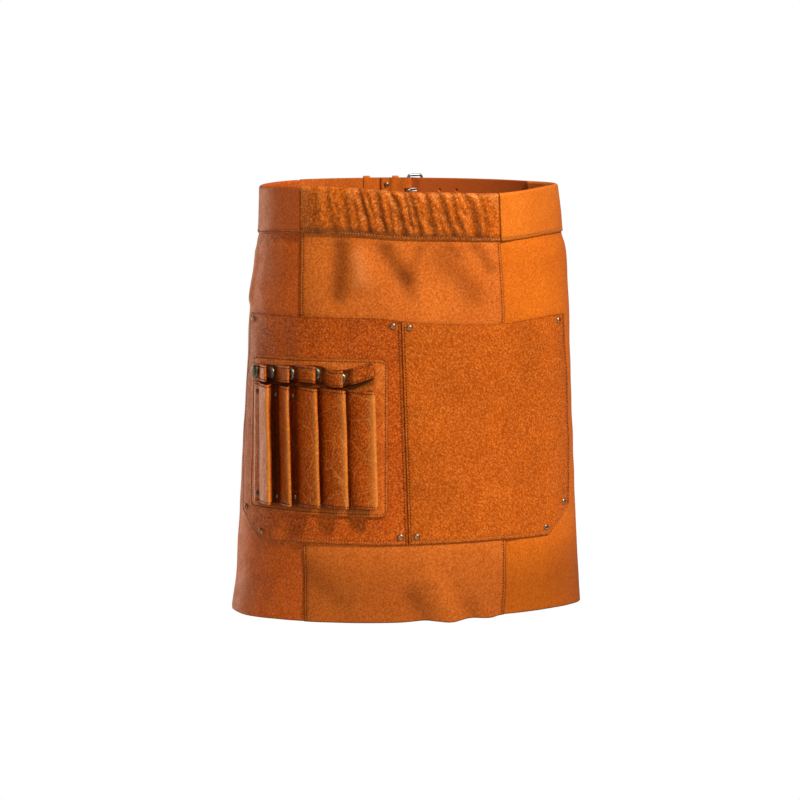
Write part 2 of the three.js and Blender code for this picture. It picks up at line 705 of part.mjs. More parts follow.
function addToolPlate() {
  const own = stepLines('left');
  for (const share of PLATE_CORNER_COLUMNS) {
    own.push(() => plateU(0) + share * PLATE_CORNER);
    own.push(() => plateU(1) - share * PLATE_CORNER);
  }
  const lines = columnLines(() => plateU(0), () => plateU(1), own);
  const levels = levelsBetween(plateBottom, plateTop, 3);
  add('tool_plate', sheet(lines, levels, plateInner, PLATE_LEATHER), 'holder');
}

// Corners of a path rounded off into short arcs. Each corner is { u, d, round }.
function roundedPath(corners) {
  const path = [];
  corners.forEach((corner, k) => {
    if (!corner.round) {
      path.push(new THREE.Vector2(corner.u, corner.d));
      return;
    }
    const here = new THREE.Vector2(corner.u, corner.d);
    const back = new THREE.Vector2(corners[k - 1].u, corners[k - 1].d).sub(here);
    const ahead = new THREE.Vector2(corners[k + 1].u, corners[k + 1].d).sub(here);
    const half = Math.acos(clamp(back.dot(ahead) / back.length() / ahead.length(), -1, 1)) / 2;
    const cut = Math.min(corner.round / Math.tan(half), 0.45 * back.length(), 0.45 * ahead.length());
    const start = here.clone().addScaledVector(back.normalize(), cut);
    const end = here.clone().addScaledVector(ahead.normalize(), cut);
    const middle = start.clone().add(end).multiplyScalar(0.5);
    const centre = here.clone().add(middle.sub(here).multiplyScalar(1 / Math.cos(half) ** 2));
    const radius = centre.distanceTo(start);
    const from = start.clone().sub(centre).angle();
    let sweep = end.clone().sub(centre).angle() - from;
    if (sweep > Math.PI) sweep -= 2 * Math.PI;
    if (sweep < -Math.PI) sweep += 2 * Math.PI;
    for (let step = 0; step <= FOLD_STEPS; step++) {
      const angle = from + sweep * step / FOLD_STEPS;
      const spoke = new THREE.Vector2(Math.cos(angle), Math.sin(angle));
      path.push(centre.clone().addScaledVector(spoke, radius));
    }
  });
  return path;
}

// A path moved sideways by a distance, with mitred corners
function besides(path, distance) {
  return path.map((point, k) => {
    const back = point.clone().sub(path[Math.max(k - 1, 0)]);
    const ahead = path[Math.min(k + 1, path.length - 1)].clone().sub(point);
    if (back.length() < EPSILON) back.copy(ahead);
    if (ahead.length() < EPSILON) ahead.copy(back);
    const one = new THREE.Vector2(-back.y, back.x).normalize();
    const two = new THREE.Vector2(-ahead.y, ahead.x).normalize();
    const side = one.clone().add(two).normalize();
    return point.clone().addScaledVector(side, distance / Math.max(side.dot(one), 0.5));
  });
}

// Leather ribbon on the plate that follows a path of { u, d } above the plate's face. lean: its
// run to the right per unit of drop.
function ribbon(path, thickness, rows, low, high, face_at, lean = 0) {
  const under = besides(path, -thickness / 2);
  const over = besides(path, thickness / 2);
  return wall(path.length - 1, rows, (i, j, face) => {
    const point = (face ? over : under)[i];
    const top = high(path[i].x);
    const z = mix(low(path[i].x), top, j / rows);
    const u = point.x + lean * (top - z);
    return skirt(u, z, face_at(u, z) + GAP + thickness / 2 + point.y);
  });
}

function pleatTop(u) {
  return plateTop(plateU(0.5)) - PLEAT_DROP + (u - plateU(0.5)) * PLEAT_TOP_SLOPE;
}

function pleatLow(u) {
  return plateBottom(plateU(0.5)) + PLEAT_CLEARANCE + (u - plateU(0.5)) * PLEAT_FOOT_SLOPE;
}

function addToolPleats() {
  const before = PLEAT_FOOT * PLEAT_FOOT_BEFORE;
  const after = PLEAT_FOOT - before;
  const corners = [{ u: plateU(PLEATS[0].foot) - before, d: 0 }];
  PLEATS.forEach((pleat, k) => {
    const start = plateU(pleat.foot) + after;
    const ridge = plateU(pleat.ridge);
    const next = plateU(k + 1 < PLEATS.length ? PLEATS[k + 1].foot : PLEAT_END) - before;
    corners.push({ u: start, d: 0, round: FOLD_RADIUS });
    corners.push({ u: mix(start, ridge, 0.5), d: FACE_BOW * PLEAT_RISE });
    corners.push({ u: ridge, d: PLEAT_RISE, round: FOLD_RADIUS });
    corners.push({ u: next, d: 0, round: FOLD_RADIUS });
  });
  corners.push({ u: plateU(PLEAT_END), d: 0 });
  const path = roundedPath(corners);
  const tubes = ribbon(path, PLEAT_LEATHER, 2, pleatLow, pleatTop, plateFace, PLEAT_LEAN);
  add('tool_pleats', tubes, 'holder');
}

const LOOP_LIFTS = [...LOOPS.map(({ stud, lift }) => ({ across: stud, lift })), LOOP_END];

function loopMiddle(u) {
  const across = (u - plateU(0)) / PLATE_WIDTH;
  return plateTop(plateU(0.5)) - LOOP_DROP + follow(LOOP_LIFTS, 'across', 'lift', across) * LOOP_HEIGHT;
}

function addToolStrap() {
  const before = LOOP_FOOT * LOOP_FOOT_BEFORE;
  const corners = [{ u: plateU(LOOPS[0].stud) - STUD_DIAMETER / 2 - GAP, d: 0 }];
  LOOPS.forEach((loop, k) => {
    const start = plateU(loop.stud) + LOOP_FOOT - before;
    const ridge = plateU(loop.ridge);
    corners.push({ u: start, d: 0, round: FOLD_RADIUS });
    if (k + 1 === LOOPS.length) {
      corners.push({ u: ridge, d: LOOP_LAST_RISE * LOOP_RISE });
      corners.push({ u: plateU(LOOP_END.across), d: 0 });
      return;
    }
    const next = plateU(LOOPS[k + 1].stud) - before;
    corners.push({ u: mix(start, ridge, 0.5), d: FACE_BOW * LOOP_RISE });
    corners.push({ u: ridge, d: LOOP_RISE, round: FOLD_RADIUS });
    corners.push({ u: next, d: 0, round: FOLD_RADIUS });
  });
  const low = (u) => loopMiddle(u) - LOOP_HEIGHT / 2;
  const high = (u) => loopMiddle(u) + LOOP_HEIGHT / 2;
  add('tool_strap', ribbon(roundedPath(corners), LOOP_LEATHER, 1, low, high, plateFace), 'holder');
}

// Low metal dome, its flat side at the origin and its crown along +Y
function domeGeometry(diameter, rise, sides) {
  const radius = diameter / 2;
  const profile = [
    new THREE.Vector2(0, 0),
    new THREE.Vector2(radius, 0),
    new THREE.Vector2(radius * DOME_SHOULDER.across, rise * DOME_SHOULDER.up),
    new THREE.Vector2(0, rise),
  ];
  return new THREE.LatheGeometry(profile, sides);
}

// Seats a dome on a face given as a function of (u, z), its crown out
function addDome(name, material, surface, u, z, diameter, rise, sides) {
  const reach = diameter / 2;
  const right = surface(u + reach, z).sub(surface(u - reach, z)).normalize();
  const up = surface(u, z + reach).sub(surface(u, z - reach)).normalize();
  const out = right.clone().cross(up).normalize();
  const bow = [
    surface(u + reach, z),
    surface(u - reach, z),
    surface(u, z + reach),
    surface(u, z - reach),
    surface(u, z),
  ].map((point) => point.sub(surface(u, z)).dot(out));
  const position = surface(u, z).addScaledVector(out, Math.max(...bow) + GAP);
  const quaternion = new THREE.Quaternion().setFromUnitVectors(new THREE.Vector3(0, 1, 0), out);
  add(name, domeGeometry(diameter, rise, sides), material, position, quaternion);
}

function addPocketRivets(side) {
  const away = side === 'left' ? -1 : 1;
  const face = (u, z) => skirt(u, z, pocketInner(u, z) + POCKET_LEATHER);
  const low = (u) => pocketLow(side, u);
  const top_level = (u) => pocketTop(u) - RIVET_BELOW_TOP * RIVET_INSET;
  const outer_top = pocketEdge('left', POCKET_TOP) * -away - away * RIVET_INSET;
  const inner_top = pocketSeam(top_level(0)) + away * RIVET_INSET;
  const inner_low = pocketSeam(low(0)) + away * RIVET_INSET;
  const corner_high = away * (POCKET_REACH - CORNER_HIGH_IN * RIVET_INSET);
  const corner_low = away * (POCKET_REACH - CHAMFER_WIDTH - CORNER_LOW_PAST * RIVET_INSET);
  const places = [
    { name: 'top_outer', u: outer_top, z: top_level(outer_top) },
    { name: 'top_inner', u: inner_top, z: top_level(inner_top) },
    { name: 'corner_high', u: corner_high, z: low(corner_high) + CORNER_HIGH_OVER * RIVET_INSET },
    { name: 'corner_low', u: corner_low, z: low(corner_low) + RIVET_INSET },
    { name: 'bottom_inner', u: inner_low, z: low(inner_low) + RIVET_INSET },
  ];
  for (const { name, u, z } of places) {
    addDome(`rivet_${side}_${name}`, 'rivet', face, u, z, RIVET_DIAMETER, RIVET_RISE, ROUND_SIDES);
  }
}

function addPleatRivets() {
  const face = (u, z) => skirt(u, z, plateFace(u, z) + GAP + PLEAT_LEATHER);
  PLEATS.forEach((pleat, k) => {
    const foot = plateU(pleat.foot);
    const high = pleatTop(foot) - PLEAT_RIVET_INSET;
    const low = pleatLow(foot) + PLEAT_RIVET_OVER * PLEAT_RIVET_INSET;
    for (const [level, z] of [['high', high], ['low', low]]) {
      const u = foot + PLEAT_LEAN * (pleatTop(foot) - z);
      const name = `pleat_rivet_${level}_${k + 1}`;
      addDome(name, 'rivet', face, u, z, PLEAT_RIVET_DIAMETER, PLEAT_RIVET_RISE, ROUND_SIDES);
    }
  });
}

function addPressStuds() {
  const face = (u, z) => skirt(u, z, plateFace(u, z) + GAP + LOOP_LEATHER);
  LOOPS.forEach((loop, k) => {
    const u = plateU(loop.stud);
    addDome(`press_stud_${k + 1}`, 'stud', face, u, loopMiddle(u), STUD_DIAMETER, STUD_RISE, STUD_SIDES);
  });
}

// Places on the back closure: b runs to the right along the band from the back middle
function backPlace(b, z, d) {
  const ring = ringAt(z);
  const u = b < 0 ? -(ring.front_length + b) : ring.girth - ring.front_length - b;
  return place(u, z, d);
}

const STRAP_TOP = BAND_TOP + 1;
const STRAP_MIDDLE = STRAP_TOP - STRAP_HEIGHT / 2;
const STRAP_D = SIDE_FACE - STRAP_LEATHER / 2; // middle of a strap's thickness
const BAR_B = -BUCKLE_BAR_PLACE;
const BAR_D = STRAP_D - STRAP_LEATHER / 2 - GAP - BUCKLE_WIRE / 2;
const FAR_B = BAR_B + BUCKLE_WIDTH;
const FAR_D = STRAP_D + STRAP_LEATHER / 2 + GAP + BUCKLE_WIRE / 2;
const TAIL_D = STRAP_D + STRAP_LEATHER + GAP;
const FOLD_MIDDLE = BUCKLE_WIRE / 2 + GAP + STRAP_LEATHER / 2; // radius of the fold on the bar

// Folded layer of the left strap, from the buckle's bar to its end. share: of
// STRAP_FOLD_BACK. gap: to the strap's main layer.
const FOLD_BACK = [
  { share: 0.15, gap: BUCKLE_WIRE + 2 * GAP },
  { share: 0.33, gap: KEEPER_LEATHER + 3 * GAP },
  { share: 0.59, gap: KEEPER_LEATHER + 3 * GAP },
  { share: 0.67, gap: GAP },
  { share: 1.00, gap: GAP },
];

// Strap that follows a path of { b, d }, its two outlines given along the path
function strapWall(path, half_height) {
  const under = besides(path, -STRAP_LEATHER / 2);
  const over = besides(path, STRAP_LEATHER / 2);
  return wall(path.length - 1, 1, (i, j, face) => {
    const point = (face ? over : under)[i];
    return backPlace(point.x, STRAP_MIDDLE + (2 * j - 1) * half_height(path[i].x), point.y);
  });
}

// Straight stretches of a strap through given stops, without the last one
function spacedPath(d, stops) {
  const path = [];
  for (let k = 0; k + 1 < stops.length; k++) {
    const steps = Math.ceil(Math.abs(stops[k + 1] - stops[k]) / COLUMN);
    for (let step = 0; step < steps; step++) {
      path.push(new THREE.Vector2(mix(stops[k], stops[k + 1], step / steps), d));
    }
  }
  return path;
}

// Half height of a strap, lower inside the waistband's closed end
function strapHalf(b, band_end) {
  const inside = clamp((Math.abs(b) - band_end + STRAP_SHOULDER) / STRAP_SHOULDER, 0, 1);
  return STRAP_HEIGHT / 2 - inside * (STRAP_TOP - BAND_TOP + LEATHER + STRAP_LEATHER / 2);
}

function toSolid(geometry) {
  const bare = geometry.clone();
  bare.deleteAttribute('normal');
  bare.deleteAttribute('uv');
  const merged = mergeVertices(bare, 1e-4);
  const mesh = new wasm.Mesh({
    numProp: 3,
    vertProperties: new Float32Array(merged.attributes.position.array),
    triVerts: new Uint32Array(merged.index.array),
  });
  return new wasm.Manifold(mesh);
}

function cut(geometry, tools) {
  let solid = toSolid(geometry);
  for (const tool of tools) solid = solid.subtract(toSolid(tool));
  const mesh = solid.getMesh();
  return solidGeometry(Array.from(mesh.vertProperties), Array.from(mesh.triVerts));
}

// Frame on the back closure: x along the straps, y out of the apron, z up the strap's face
function backFrame(b, d) {
  const reach = STRAP_HEIGHT / 2;
  const top = backPlace(b, STRAP_MIDDLE + reach, d);
  const bottom = backPlace(b, STRAP_MIDDLE - reach, d);
  const along = backPlace(b + 1, STRAP_MIDDLE, d).sub(backPlace(b - 1, STRAP_MIDDLE, d)).normalize();
  const out = top.clone().sub(bottom).cross(along).normalize();
  const frame = new THREE.Matrix4().makeBasis(along, out, along.clone().cross(out));
  return frame.setPosition(top.add(bottom).divideScalar(2));
}

function prongSlot(from, to, low, high) {
  const slot = new THREE.BoxGeometry(to - from, high - low, PRONG_WIRE + 4 * GAP);
  slot.translate((from + to) / 2 - BAR_B, (low + high) / 2 - BAR_D, 0);
  return slot.applyMatrix4(backFrame(BAR_B, BAR_D));
}

function addBackStraps() {
  const ring = ringAt(STRAP_TOP);
  const left_end = BAND_REACH - ring.front_length;
  const right_end = ring.girth - ring.front_length - BAND_REACH;
  const fold_end = BAR_B - STRAP_FOLD_BACK;
  const left_tongue = left_end - STRAP_TONGUE;
  const left_path = spacedPath(STRAP_D, [left_tongue, left_end, left_end + STRAP_SHOULDER, BAR_B]);
  const fold_steps = 6;
  for (let step = 0; step <= fold_steps; step++) {
    const angle = Math.PI / 2 - Math.PI * step / fold_steps;
    const b = BAR_B + FOLD_MIDDLE * Math.cos(angle);
    left_path.push(new THREE.Vector2(b, BAR_D + FOLD_MIDDLE * Math.sin(angle)));
  }
  for (const { share, gap } of FOLD_BACK) {
    left_path.push(new THREE.Vector2(mix(BAR_B, fold_end, share), STRAP_D - STRAP_LEATHER - gap));
  }
  const left = strapWall(left_path, (b) => strapHalf(b, -left_end));
  const fold_reach = FOLD_MIDDLE + STRAP_LEATHER;
  const tail_face = TAIL_D - STRAP_LEATHER / 2;
  const fold_slot = prongSlot(
    BAR_B - 2 * PRONG_WIRE,
    BAR_B + fold_reach,
    BAR_D - fold_reach,
    tail_face - GAP / 2,
  );
  add('back_strap_left', cut(left, [fold_slot]), 'strap');

  const tip = BAR_B - STRAP_TAIL;
  const right_tongue = right_end + STRAP_TONGUE;
  const right_path = spacedPath(STRAP_D, [right_tongue, right_end, right_end - STRAP_SHOULDER, FAR_B]);
  right_path.push(new THREE.Vector2(FAR_B, STRAP_D));
  const rise_steps = 4;
  for (let step = 1; step <= rise_steps; step++) {
    const share = step / rise_steps;
    const b = mix(FAR_B, BAR_B + FOLD_MIDDLE + STRAP_LEATHER, share);
    right_path.push(new THREE.Vector2(b, mix(STRAP_D, TAIL_D, smooth(share))));
  }
  right_path.push(...spacedPath(TAIL_D, [BAR_B, tip + STRAP_TIP]));
  for (const share of [0, 0.5, 0.85, 1]) {
    right_path.push(new THREE.Vector2(tip + STRAP_TIP * (1 - share), TAIL_D));
  }
  const right_half = (b) => {
    const point = clamp((tip + STRAP_TIP - b) / STRAP_TIP, 0, 1);
    return strapHalf(b, right_end) * (b < 0 ? mix(1, STRAP_TIP_WIDTH, point * point) : 1);
  };
  const right = strapWall(right_path, right_half);
  const slot_end = BAR_B + SLOT_REACH * BUCKLE_WIDTH;
  const tail_slot = prongSlot(BAR_B - PRONG_WIRE, slot_end, STRAP_D, FAR_D + BUCKLE_WIRE);
  add('back_strap_right', cut(right, [tail_slot]), 'strap');
}

// Round wire along a closed or open path, with a fixed direction across it
function wire(path, radius, sides, across, closed) {
  const positions = [];
  const index = [];
  const count = path.length;
  path.forEach((point, k) => {
    const back = path[closed ? (k + count - 1) % count : Math.max(k - 1, 0)];
    const ahead = path[closed ? (k + 1) % count : Math.min(k + 1, count - 1)];
    const run = ahead.clone().sub(back).normalize();
    const side = across.clone().cross(run).normalize();
    for (let s = 0; s < sides; s++) {
      const angle = 2 * Math.PI * s / sides;
      const spot = point.clone();
      spot.addScaledVector(side, radius * Math.cos(angle));
      spot.addScaledVector(across, radius * Math.sin(angle));
      positions.push(...spot.toArray());
    }
  });
  const loops = closed ? count : count - 1;
  for (let k = 0; k < loops; k++) {
    for (let s = 0; s < sides; s++) {
      const a = k * sides + s;
      const b = k * sides + (s + 1) % sides;
      const c = ((k + 1) % count) * sides + (s + 1) % sides;
      const d = ((k + 1) % count) * sides + s;
      index.push(a, b, c, a, c, d);
    }
  }
  if (!closed) {
    for (let s = 1; s < sides - 1; s++) {
      index.push(0, s + 1, s);
      const last = (count - 1) * sides;
      index.push(last, last + s, last + s + 1);
    }
  }
  return solidGeometry(positions, index);
}

function addBuckle() {
  const frame = backFrame(BAR_B, BAR_D);
  const far = new THREE.Vector2(BUCKLE_WIDTH, FAR_D - BAR_D);
  const width = far.length();
  const height = STRAP_HEIGHT + BUCKLE_WIRE + 2 * BUCKLE_ROOM;
  const slope = far.clone().normalize();
  const path = [];
  const corner_steps = 3;
  const centres = [
    [width - BUCKLE_CORNER, height / 2 - BUCKLE_CORNER],
    [BUCKLE_CORNER, height / 2 - BUCKLE_CORNER],
    [BUCKLE_CORNER, BUCKLE_CORNER - height / 2],
    [width - BUCKLE_CORNER, BUCKLE_CORNER - height / 2],
  ];
  centres.forEach(([x, z], k) => {
    for (let step = 0; step <= corner_steps; step++) {
      const angle = (k + step / corner_steps) * Math.PI / 2;
      const along = x + BUCKLE_CORNER * Math.cos(angle);
      const up = z + BUCKLE_CORNER * Math.sin(angle);
      path.push(new THREE.Vector3(along * slope.x, along * slope.y, up));
    }
  });
  const across = new THREE.Vector3(-slope.y, slope.x, 0);
  const ring = wire(path, BUCKLE_WIRE / 2, ROUND_SIDES, across, true);
  add('buckle_frame', ring.applyMatrix4(frame), 'buckle');

  const hug = BUCKLE_WIRE / 2 + GAP + PRONG_WIRE / 2;
  const over = far.y + hug;
  const prong = PRONG_TURNS.map((turn) => (
    new THREE.Vector3(hug, 0, 0).applyAxisAngle(new THREE.Vector3(0, 0, 1), turn * Math.PI / 180)
  ));
  for (const { along, up } of PRONG_COURSE) {
    prong.push(new THREE.Vector3(along * BUCKLE_WIDTH, up * over, 0));
  }
  prong.push(new THREE.Vector3(BUCKLE_WIDTH + PRONG_REACH, over, 0));
  const bar = wire(prong, PRONG_WIRE / 2, 6, new THREE.Vector3(0, 0, 1), false);
  add('buckle_prong', bar.applyMatrix4(frame), 'buckle');
}

function addKeepers() {
  const low = STRAP_D - STRAP_LEATHER / 2 - GAP;
  const high = TAIL_D + STRAP_LEATHER / 2 + GAP;
  const half = STRAP_HEIGHT / 2 + 2 * GAP;
  KEEPER_PLACES.forEach((from_bar, k) => {
    const b = BAR_B - from_bar;
    const shape = new THREE.Shape([
      new THREE.Vector2(low - KEEPER_LEATHER, -half - KEEPER_LEATHER),
      new THREE.Vector2(high + KEEPER_LEATHER, -half - KEEPER_LEATHER),
      new THREE.Vector2(high + KEEPER_LEATHER, half + KEEPER_LEATHER),
      new THREE.Vector2(low - KEEPER_LEATHER, half + KEEPER_LEATHER),
    ]);
    shape.holes.push(new THREE.Path([
      new THREE.Vector2(low, -half),
      new THREE.Vector2(low, half),
      new THREE.Vector2(high, half),
      new THREE.Vector2(high, -half),
    ]));
    const geometry = new THREE.ExtrudeGeometry(shape, { depth: KEEPER_WIDTH, bevelEnabled: false });
    geometry.translate(0, 0, -KEEPER_WIDTH / 2);
    const turn = new THREE.Matrix4().makeBasis(
      new THREE.Vector3(0, 1, 0),
      new THREE.Vector3(0, 0, 1),
      new THREE.Vector3(1, 0, 0),
    );
    geometry.applyMatrix4(turn);
    add(`keeper_${k + 1}`, geometry.applyMatrix4(backFrame(b, 0)), 'strap');
  });
}

function addStrapRivets() {
  const inner_d = STRAP_D - 1.5 * STRAP_LEATHER - GAP;
  const face = (b, z) => backPlace(b, z, inner_d);
  const b = BAR_B - STRAP_RIVET_PLACE;
  const away = STRAP_HEIGHT / 2 - STRAP_RIVET_INSET;
  for (const [name, z] of [['upper', STRAP_MIDDLE + away], ['lower', STRAP_MIDDLE - away]]) {
    addDome(`strap_rivet_${name}`, 'rivet', face, b, z, STRAP_RIVET_DIAMETER, RIVET_RISE, ROUND_SIDES);
  }
}

addFrontPanel();
addSidePanel('left');
addSidePanel('right');
addWaistband();
addPocket('left');
addPocket('right');
addPocketRivets('left');
addPocketRivets('right');
addToolPlate();
addToolPleats();
addPleatRivets();
addToolStrap();
addPressStuds();
addBackStraps();
addBuckle();
addKeepers();
addStrapRivets();

export default apron;
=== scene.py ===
"""Short leather apron in its worn form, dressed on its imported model.

The apron hangs round an open waist: a gathered waistband, a skirt of three panels, two wide
patch pockets, a holder of upright tool tubes with a looped strap, and a buckled strap behind.
Sizes are in millimetres until a mesh is made; every mesh is in metres in the model's frame.
"""

import logging
import math
from collections.abc import Callable, Sequence
from dataclasses import dataclass, field
from enum import Enum
from typing import Any, NamedTuple

import bmesh
import bpy
import numpy as np
from mathutils import Matrix, Vector


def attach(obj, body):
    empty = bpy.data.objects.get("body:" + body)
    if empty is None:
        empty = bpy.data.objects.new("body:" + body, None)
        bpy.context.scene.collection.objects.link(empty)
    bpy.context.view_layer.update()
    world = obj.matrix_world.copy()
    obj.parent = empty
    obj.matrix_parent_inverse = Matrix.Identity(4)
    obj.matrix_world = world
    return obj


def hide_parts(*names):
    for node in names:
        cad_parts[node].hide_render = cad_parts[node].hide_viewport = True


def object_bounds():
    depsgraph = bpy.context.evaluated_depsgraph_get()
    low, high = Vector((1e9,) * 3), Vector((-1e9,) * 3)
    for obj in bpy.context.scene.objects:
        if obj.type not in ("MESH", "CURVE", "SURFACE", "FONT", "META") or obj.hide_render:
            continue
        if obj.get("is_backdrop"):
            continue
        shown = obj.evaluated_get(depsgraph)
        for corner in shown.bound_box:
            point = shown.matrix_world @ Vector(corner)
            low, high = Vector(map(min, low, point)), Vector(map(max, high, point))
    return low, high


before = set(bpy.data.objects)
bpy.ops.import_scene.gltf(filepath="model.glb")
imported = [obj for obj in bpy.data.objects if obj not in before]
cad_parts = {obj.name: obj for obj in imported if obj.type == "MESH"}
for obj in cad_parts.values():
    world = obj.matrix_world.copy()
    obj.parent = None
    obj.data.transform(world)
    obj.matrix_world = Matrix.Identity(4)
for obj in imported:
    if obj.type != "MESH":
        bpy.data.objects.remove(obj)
CAD_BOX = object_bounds()

MM = 0.001
LOG = logging.getLogger("apron")
Array = np.ndarray
Line = Callable[[Array], Array]
Depth = Callable[[Array, Array], Array]


class Side(Enum):
    """The two sides of the apron, as seen in the photograph."""

    LEFT = -1
    RIGHT = 1

    @property
    def word(self) -> str:
        """Name used in piece names."""
        return self.name.lower()


class Hold(Enum):
    """How a leather sheet is held."""

    HUNG = "hung"
    STRETCHED = "stretched"
    GATHERED = "gathered"
    FOLDED = "folded"


# Tables of the worn form


class Section(NamedTuple):
    """Level section. drop: share of the apron's length; the rest: shares of half the waist."""

    drop: float
    left: float
    right: float
    front: float
    back: float


class Seam(NamedTuple):
    """Skirt seams. drop: share of the length; left, right: shares of the front panel's half."""

    drop: float
    left: float
    right: float


class Lift(NamedTuple):
    """How far an edge rides up. across: share of the reach; lift: share of the height."""

    across: float
    lift: float


class PocketLift(NamedTuple):
    """How far the pockets' edges ride up, as shares of the pockets' height."""

    across: float
    top: float
    bottom: float


class PocketReach(NamedTuple):
    """A pocket's outer edge. down: share of its height; left, right: shares of its reach."""

    down: float
    left: float
    right: float


class Fold(NamedTuple):
    """A fold or dent along a line. across, to_across, spread: shares of the panel's half."""

    across: float
    drop: float
    to_across: float
    to_drop: float
    spread: float
    height: float


class Pleat(NamedTuple):
    """One tool tube. foot: where it starts; ridge: its highest line, shares of the plate."""

    foot: float
    ridge: float


class Loop(NamedTuple):
    """One loop of the tool strap. stud: its press stud's place; lift: share of its height."""

    stud: float
    ridge: float
    lift: float


SECTIONS = tuple(
    Section(*row)
    for row in (
        (0.000, 1.002, 0.994, 1.019, 0.981), (0.060, 1.006, 1.016, 1.028, 0.991),
        (0.110, 1.013, 1.030, 1.037, 1.008), (0.135, 1.031, 1.054, 1.045, 1.018),
        (0.165, 1.036, 1.066, 1.057, 1.028), (0.260, 1.075, 1.081, 1.075, 1.057),
        (0.400, 1.095, 1.093, 1.094, 1.094), (0.600, 1.130, 1.115, 1.123, 1.132),
        (0.800, 1.161, 1.139, 1.151, 1.170), (0.930, 1.183, 1.159, 1.170, 1.198),
        (1.000, 1.212, 1.172, 1.179, 1.208),
    )
)
SEAMS = tuple(
    Seam(*row)
    for row in (
        (0.00, 1.022, 0.960), (0.11, 1.020, 0.980), (0.20, 1.017, 1.007), (0.30, 1.014, 1.030),
        (0.83, 0.976, 1.053), (0.92, 0.967, 1.050), (1.00, 0.959, 1.025),
    )
)
BAND_LEVEL = tuple(
    Lift(*row)
    for row in (
        (-1.00, 0.010), (-0.65, -0.010), (-0.53, 0.057), (-0.40, 0.090), (-0.27, 0.096),
        (-0.13, 0.072), (0.00, 0.023), (0.19, 0.000), (0.38, -0.034), (0.49, 0.000), (0.58, 0.042),
        (0.68, 0.057), (1.00, 0.020),
    )
)
HEM_LEVEL = tuple(
    Lift(*row)
    for row in (
        (-1.10, -0.0060), (-0.82, -0.0090), (-0.67, -0.0102), (-0.51, -0.0071), (-0.31, -0.0040),
        (-0.12, -0.0008), (0.00, 0.0023), (0.10, 0.0067), (0.15, 0.0048), (0.20, 0.0035),
        (0.27, 0.0110), (0.35, 0.0106), (0.39, 0.0158), (0.47, 0.0179), (0.70, 0.0200),
        (1.10, 0.0130),
    )
)
POCKET_LEVEL = tuple(
    PocketLift(*row)
    for row in (
        (-1.00, -0.004, -0.020), (-0.82, -0.001, -0.017), (-0.66, 0.003, -0.014),
        (-0.31, 0.009, -0.008), (-0.10, 0.010, -0.006), (-0.01, 0.001, -0.003),
        (0.17, -0.010, 0.003), (0.52, -0.018, 0.015), (0.68, -0.006, 0.015), (0.83, 0.003, 0.018),
        (1.00, 0.006, 0.022),
    )
)
POCKET_SIDES = tuple(
    PocketReach(*row)
    for row in (
        (0.00, 0.948, 0.962), (0.12, 0.971, 0.975), (0.27, 0.983, 1.000), (0.40, 1.000, 1.002),
        (0.75, 1.005, 1.008), (1.00, 0.990, 0.990),
    )
)
FOLDS = tuple(
    Fold(*row)
    for row in (
        (-0.60, 0.130, -0.63, 0.240, 0.10, -0.85), (-0.43, 0.150, -0.38, 0.200, 0.10, 0.65),
        (-0.16, 0.135, 0.05, 0.200, 0.09, -0.75), (0.38, 0.150, 0.70, 0.240, 0.12, -0.45),
        (0.05, 0.200, 0.09, 0.235, 0.08, -0.45), (0.72, 0.125, 0.88, 0.180, 0.06, -0.55),
        (0.20, 0.125, 0.11, 0.170, 0.05, -0.40), (0.47, 0.125, 0.56, 0.150, 0.05, -0.40),
        (-1.78, 0.160, -1.86, 0.265, 0.07, 0.70), (-1.98, 0.150, -2.02, 0.250, 0.10, -0.30),
        (0.12, 0.940, 0.24, 0.985, 0.10, -0.90), (0.34, 0.900, 0.52, 1.000, 0.10, 0.75),
        (0.68, 0.960, 0.74, 1.000, 0.08, -0.50), (-0.90, 0.900, -0.60, 0.960, 0.14, -0.45),
    )
)
PLEATS = tuple(
    Pleat(*row) for row in ((0.068, 0.253), (0.236, 0.406), (0.375, 0.601), (0.532, 0.775), (0.709, 0.944),)
)
LOOPS = tuple(
    Loop(*row)
    for row in (
        (0.051, 0.235, 0.00), (0.195, 0.420, 0.04), (0.356, 0.597, 0.12), (0.537, 0.769, 0.22),
        (0.703, 0.805, 0.00),
    )
)


def mix(low: Any, high: Any, share: Any) -> Any:
    """Value a share of the way from low to high."""
    return low + (high - low) * share


def smooth(share: Any) -> Any:
    """Share eased in and out, held between 0 and 1."""
    held = np.clip(share, 0.0, 1.0)
    return held * held * (3.0 - 2.0 * held)


def bell(distance: Any, width: float) -> Any:
    """Smooth bump that is 1 at no distance."""
    return np.exp(-((distance / width) ** 2))


def follow(rows: Sequence[NamedTuple], key: str, column: str, at: Any) -> Array:
    """Reads a smooth curve through one column of a table.

    Args:
        rows: the table's rows, in the order of the key column.
        key: the column that places the rows.
        column: the column that is read.
        at: the places to read at.

    Returns:
        The curve's values, held at its ends.
    """
    knots = np.array([getattr(row, key) for row in rows])
    values = np.array([getattr(row, column) for row in rows])
    last = len(rows) - 1
    below = np.maximum(np.arange(last + 1) - 1, 0)
    above = np.minimum(np.arange(last + 1) + 1, last)
    slopes = (values[above] - values[below]) / (knots[above] - knots[below])
    held = np.clip(at, knots[0], knots[-1])
    index = np.clip(np.searchsorted(knots, held) - 1, 0, last - 1)
    width = knots[index + 1] - knots[index]
    t = (held - knots[index]) / width
    start = (1 + 2 * t) * (1 - t) ** 2 * values[index] + t * (1 - t) ** 2 * width * slopes[index]
    end = t * t * (3 - 2 * t) * values[index + 1] + t * t * (t - 1) * width * slopes[index + 1]
    return start + end


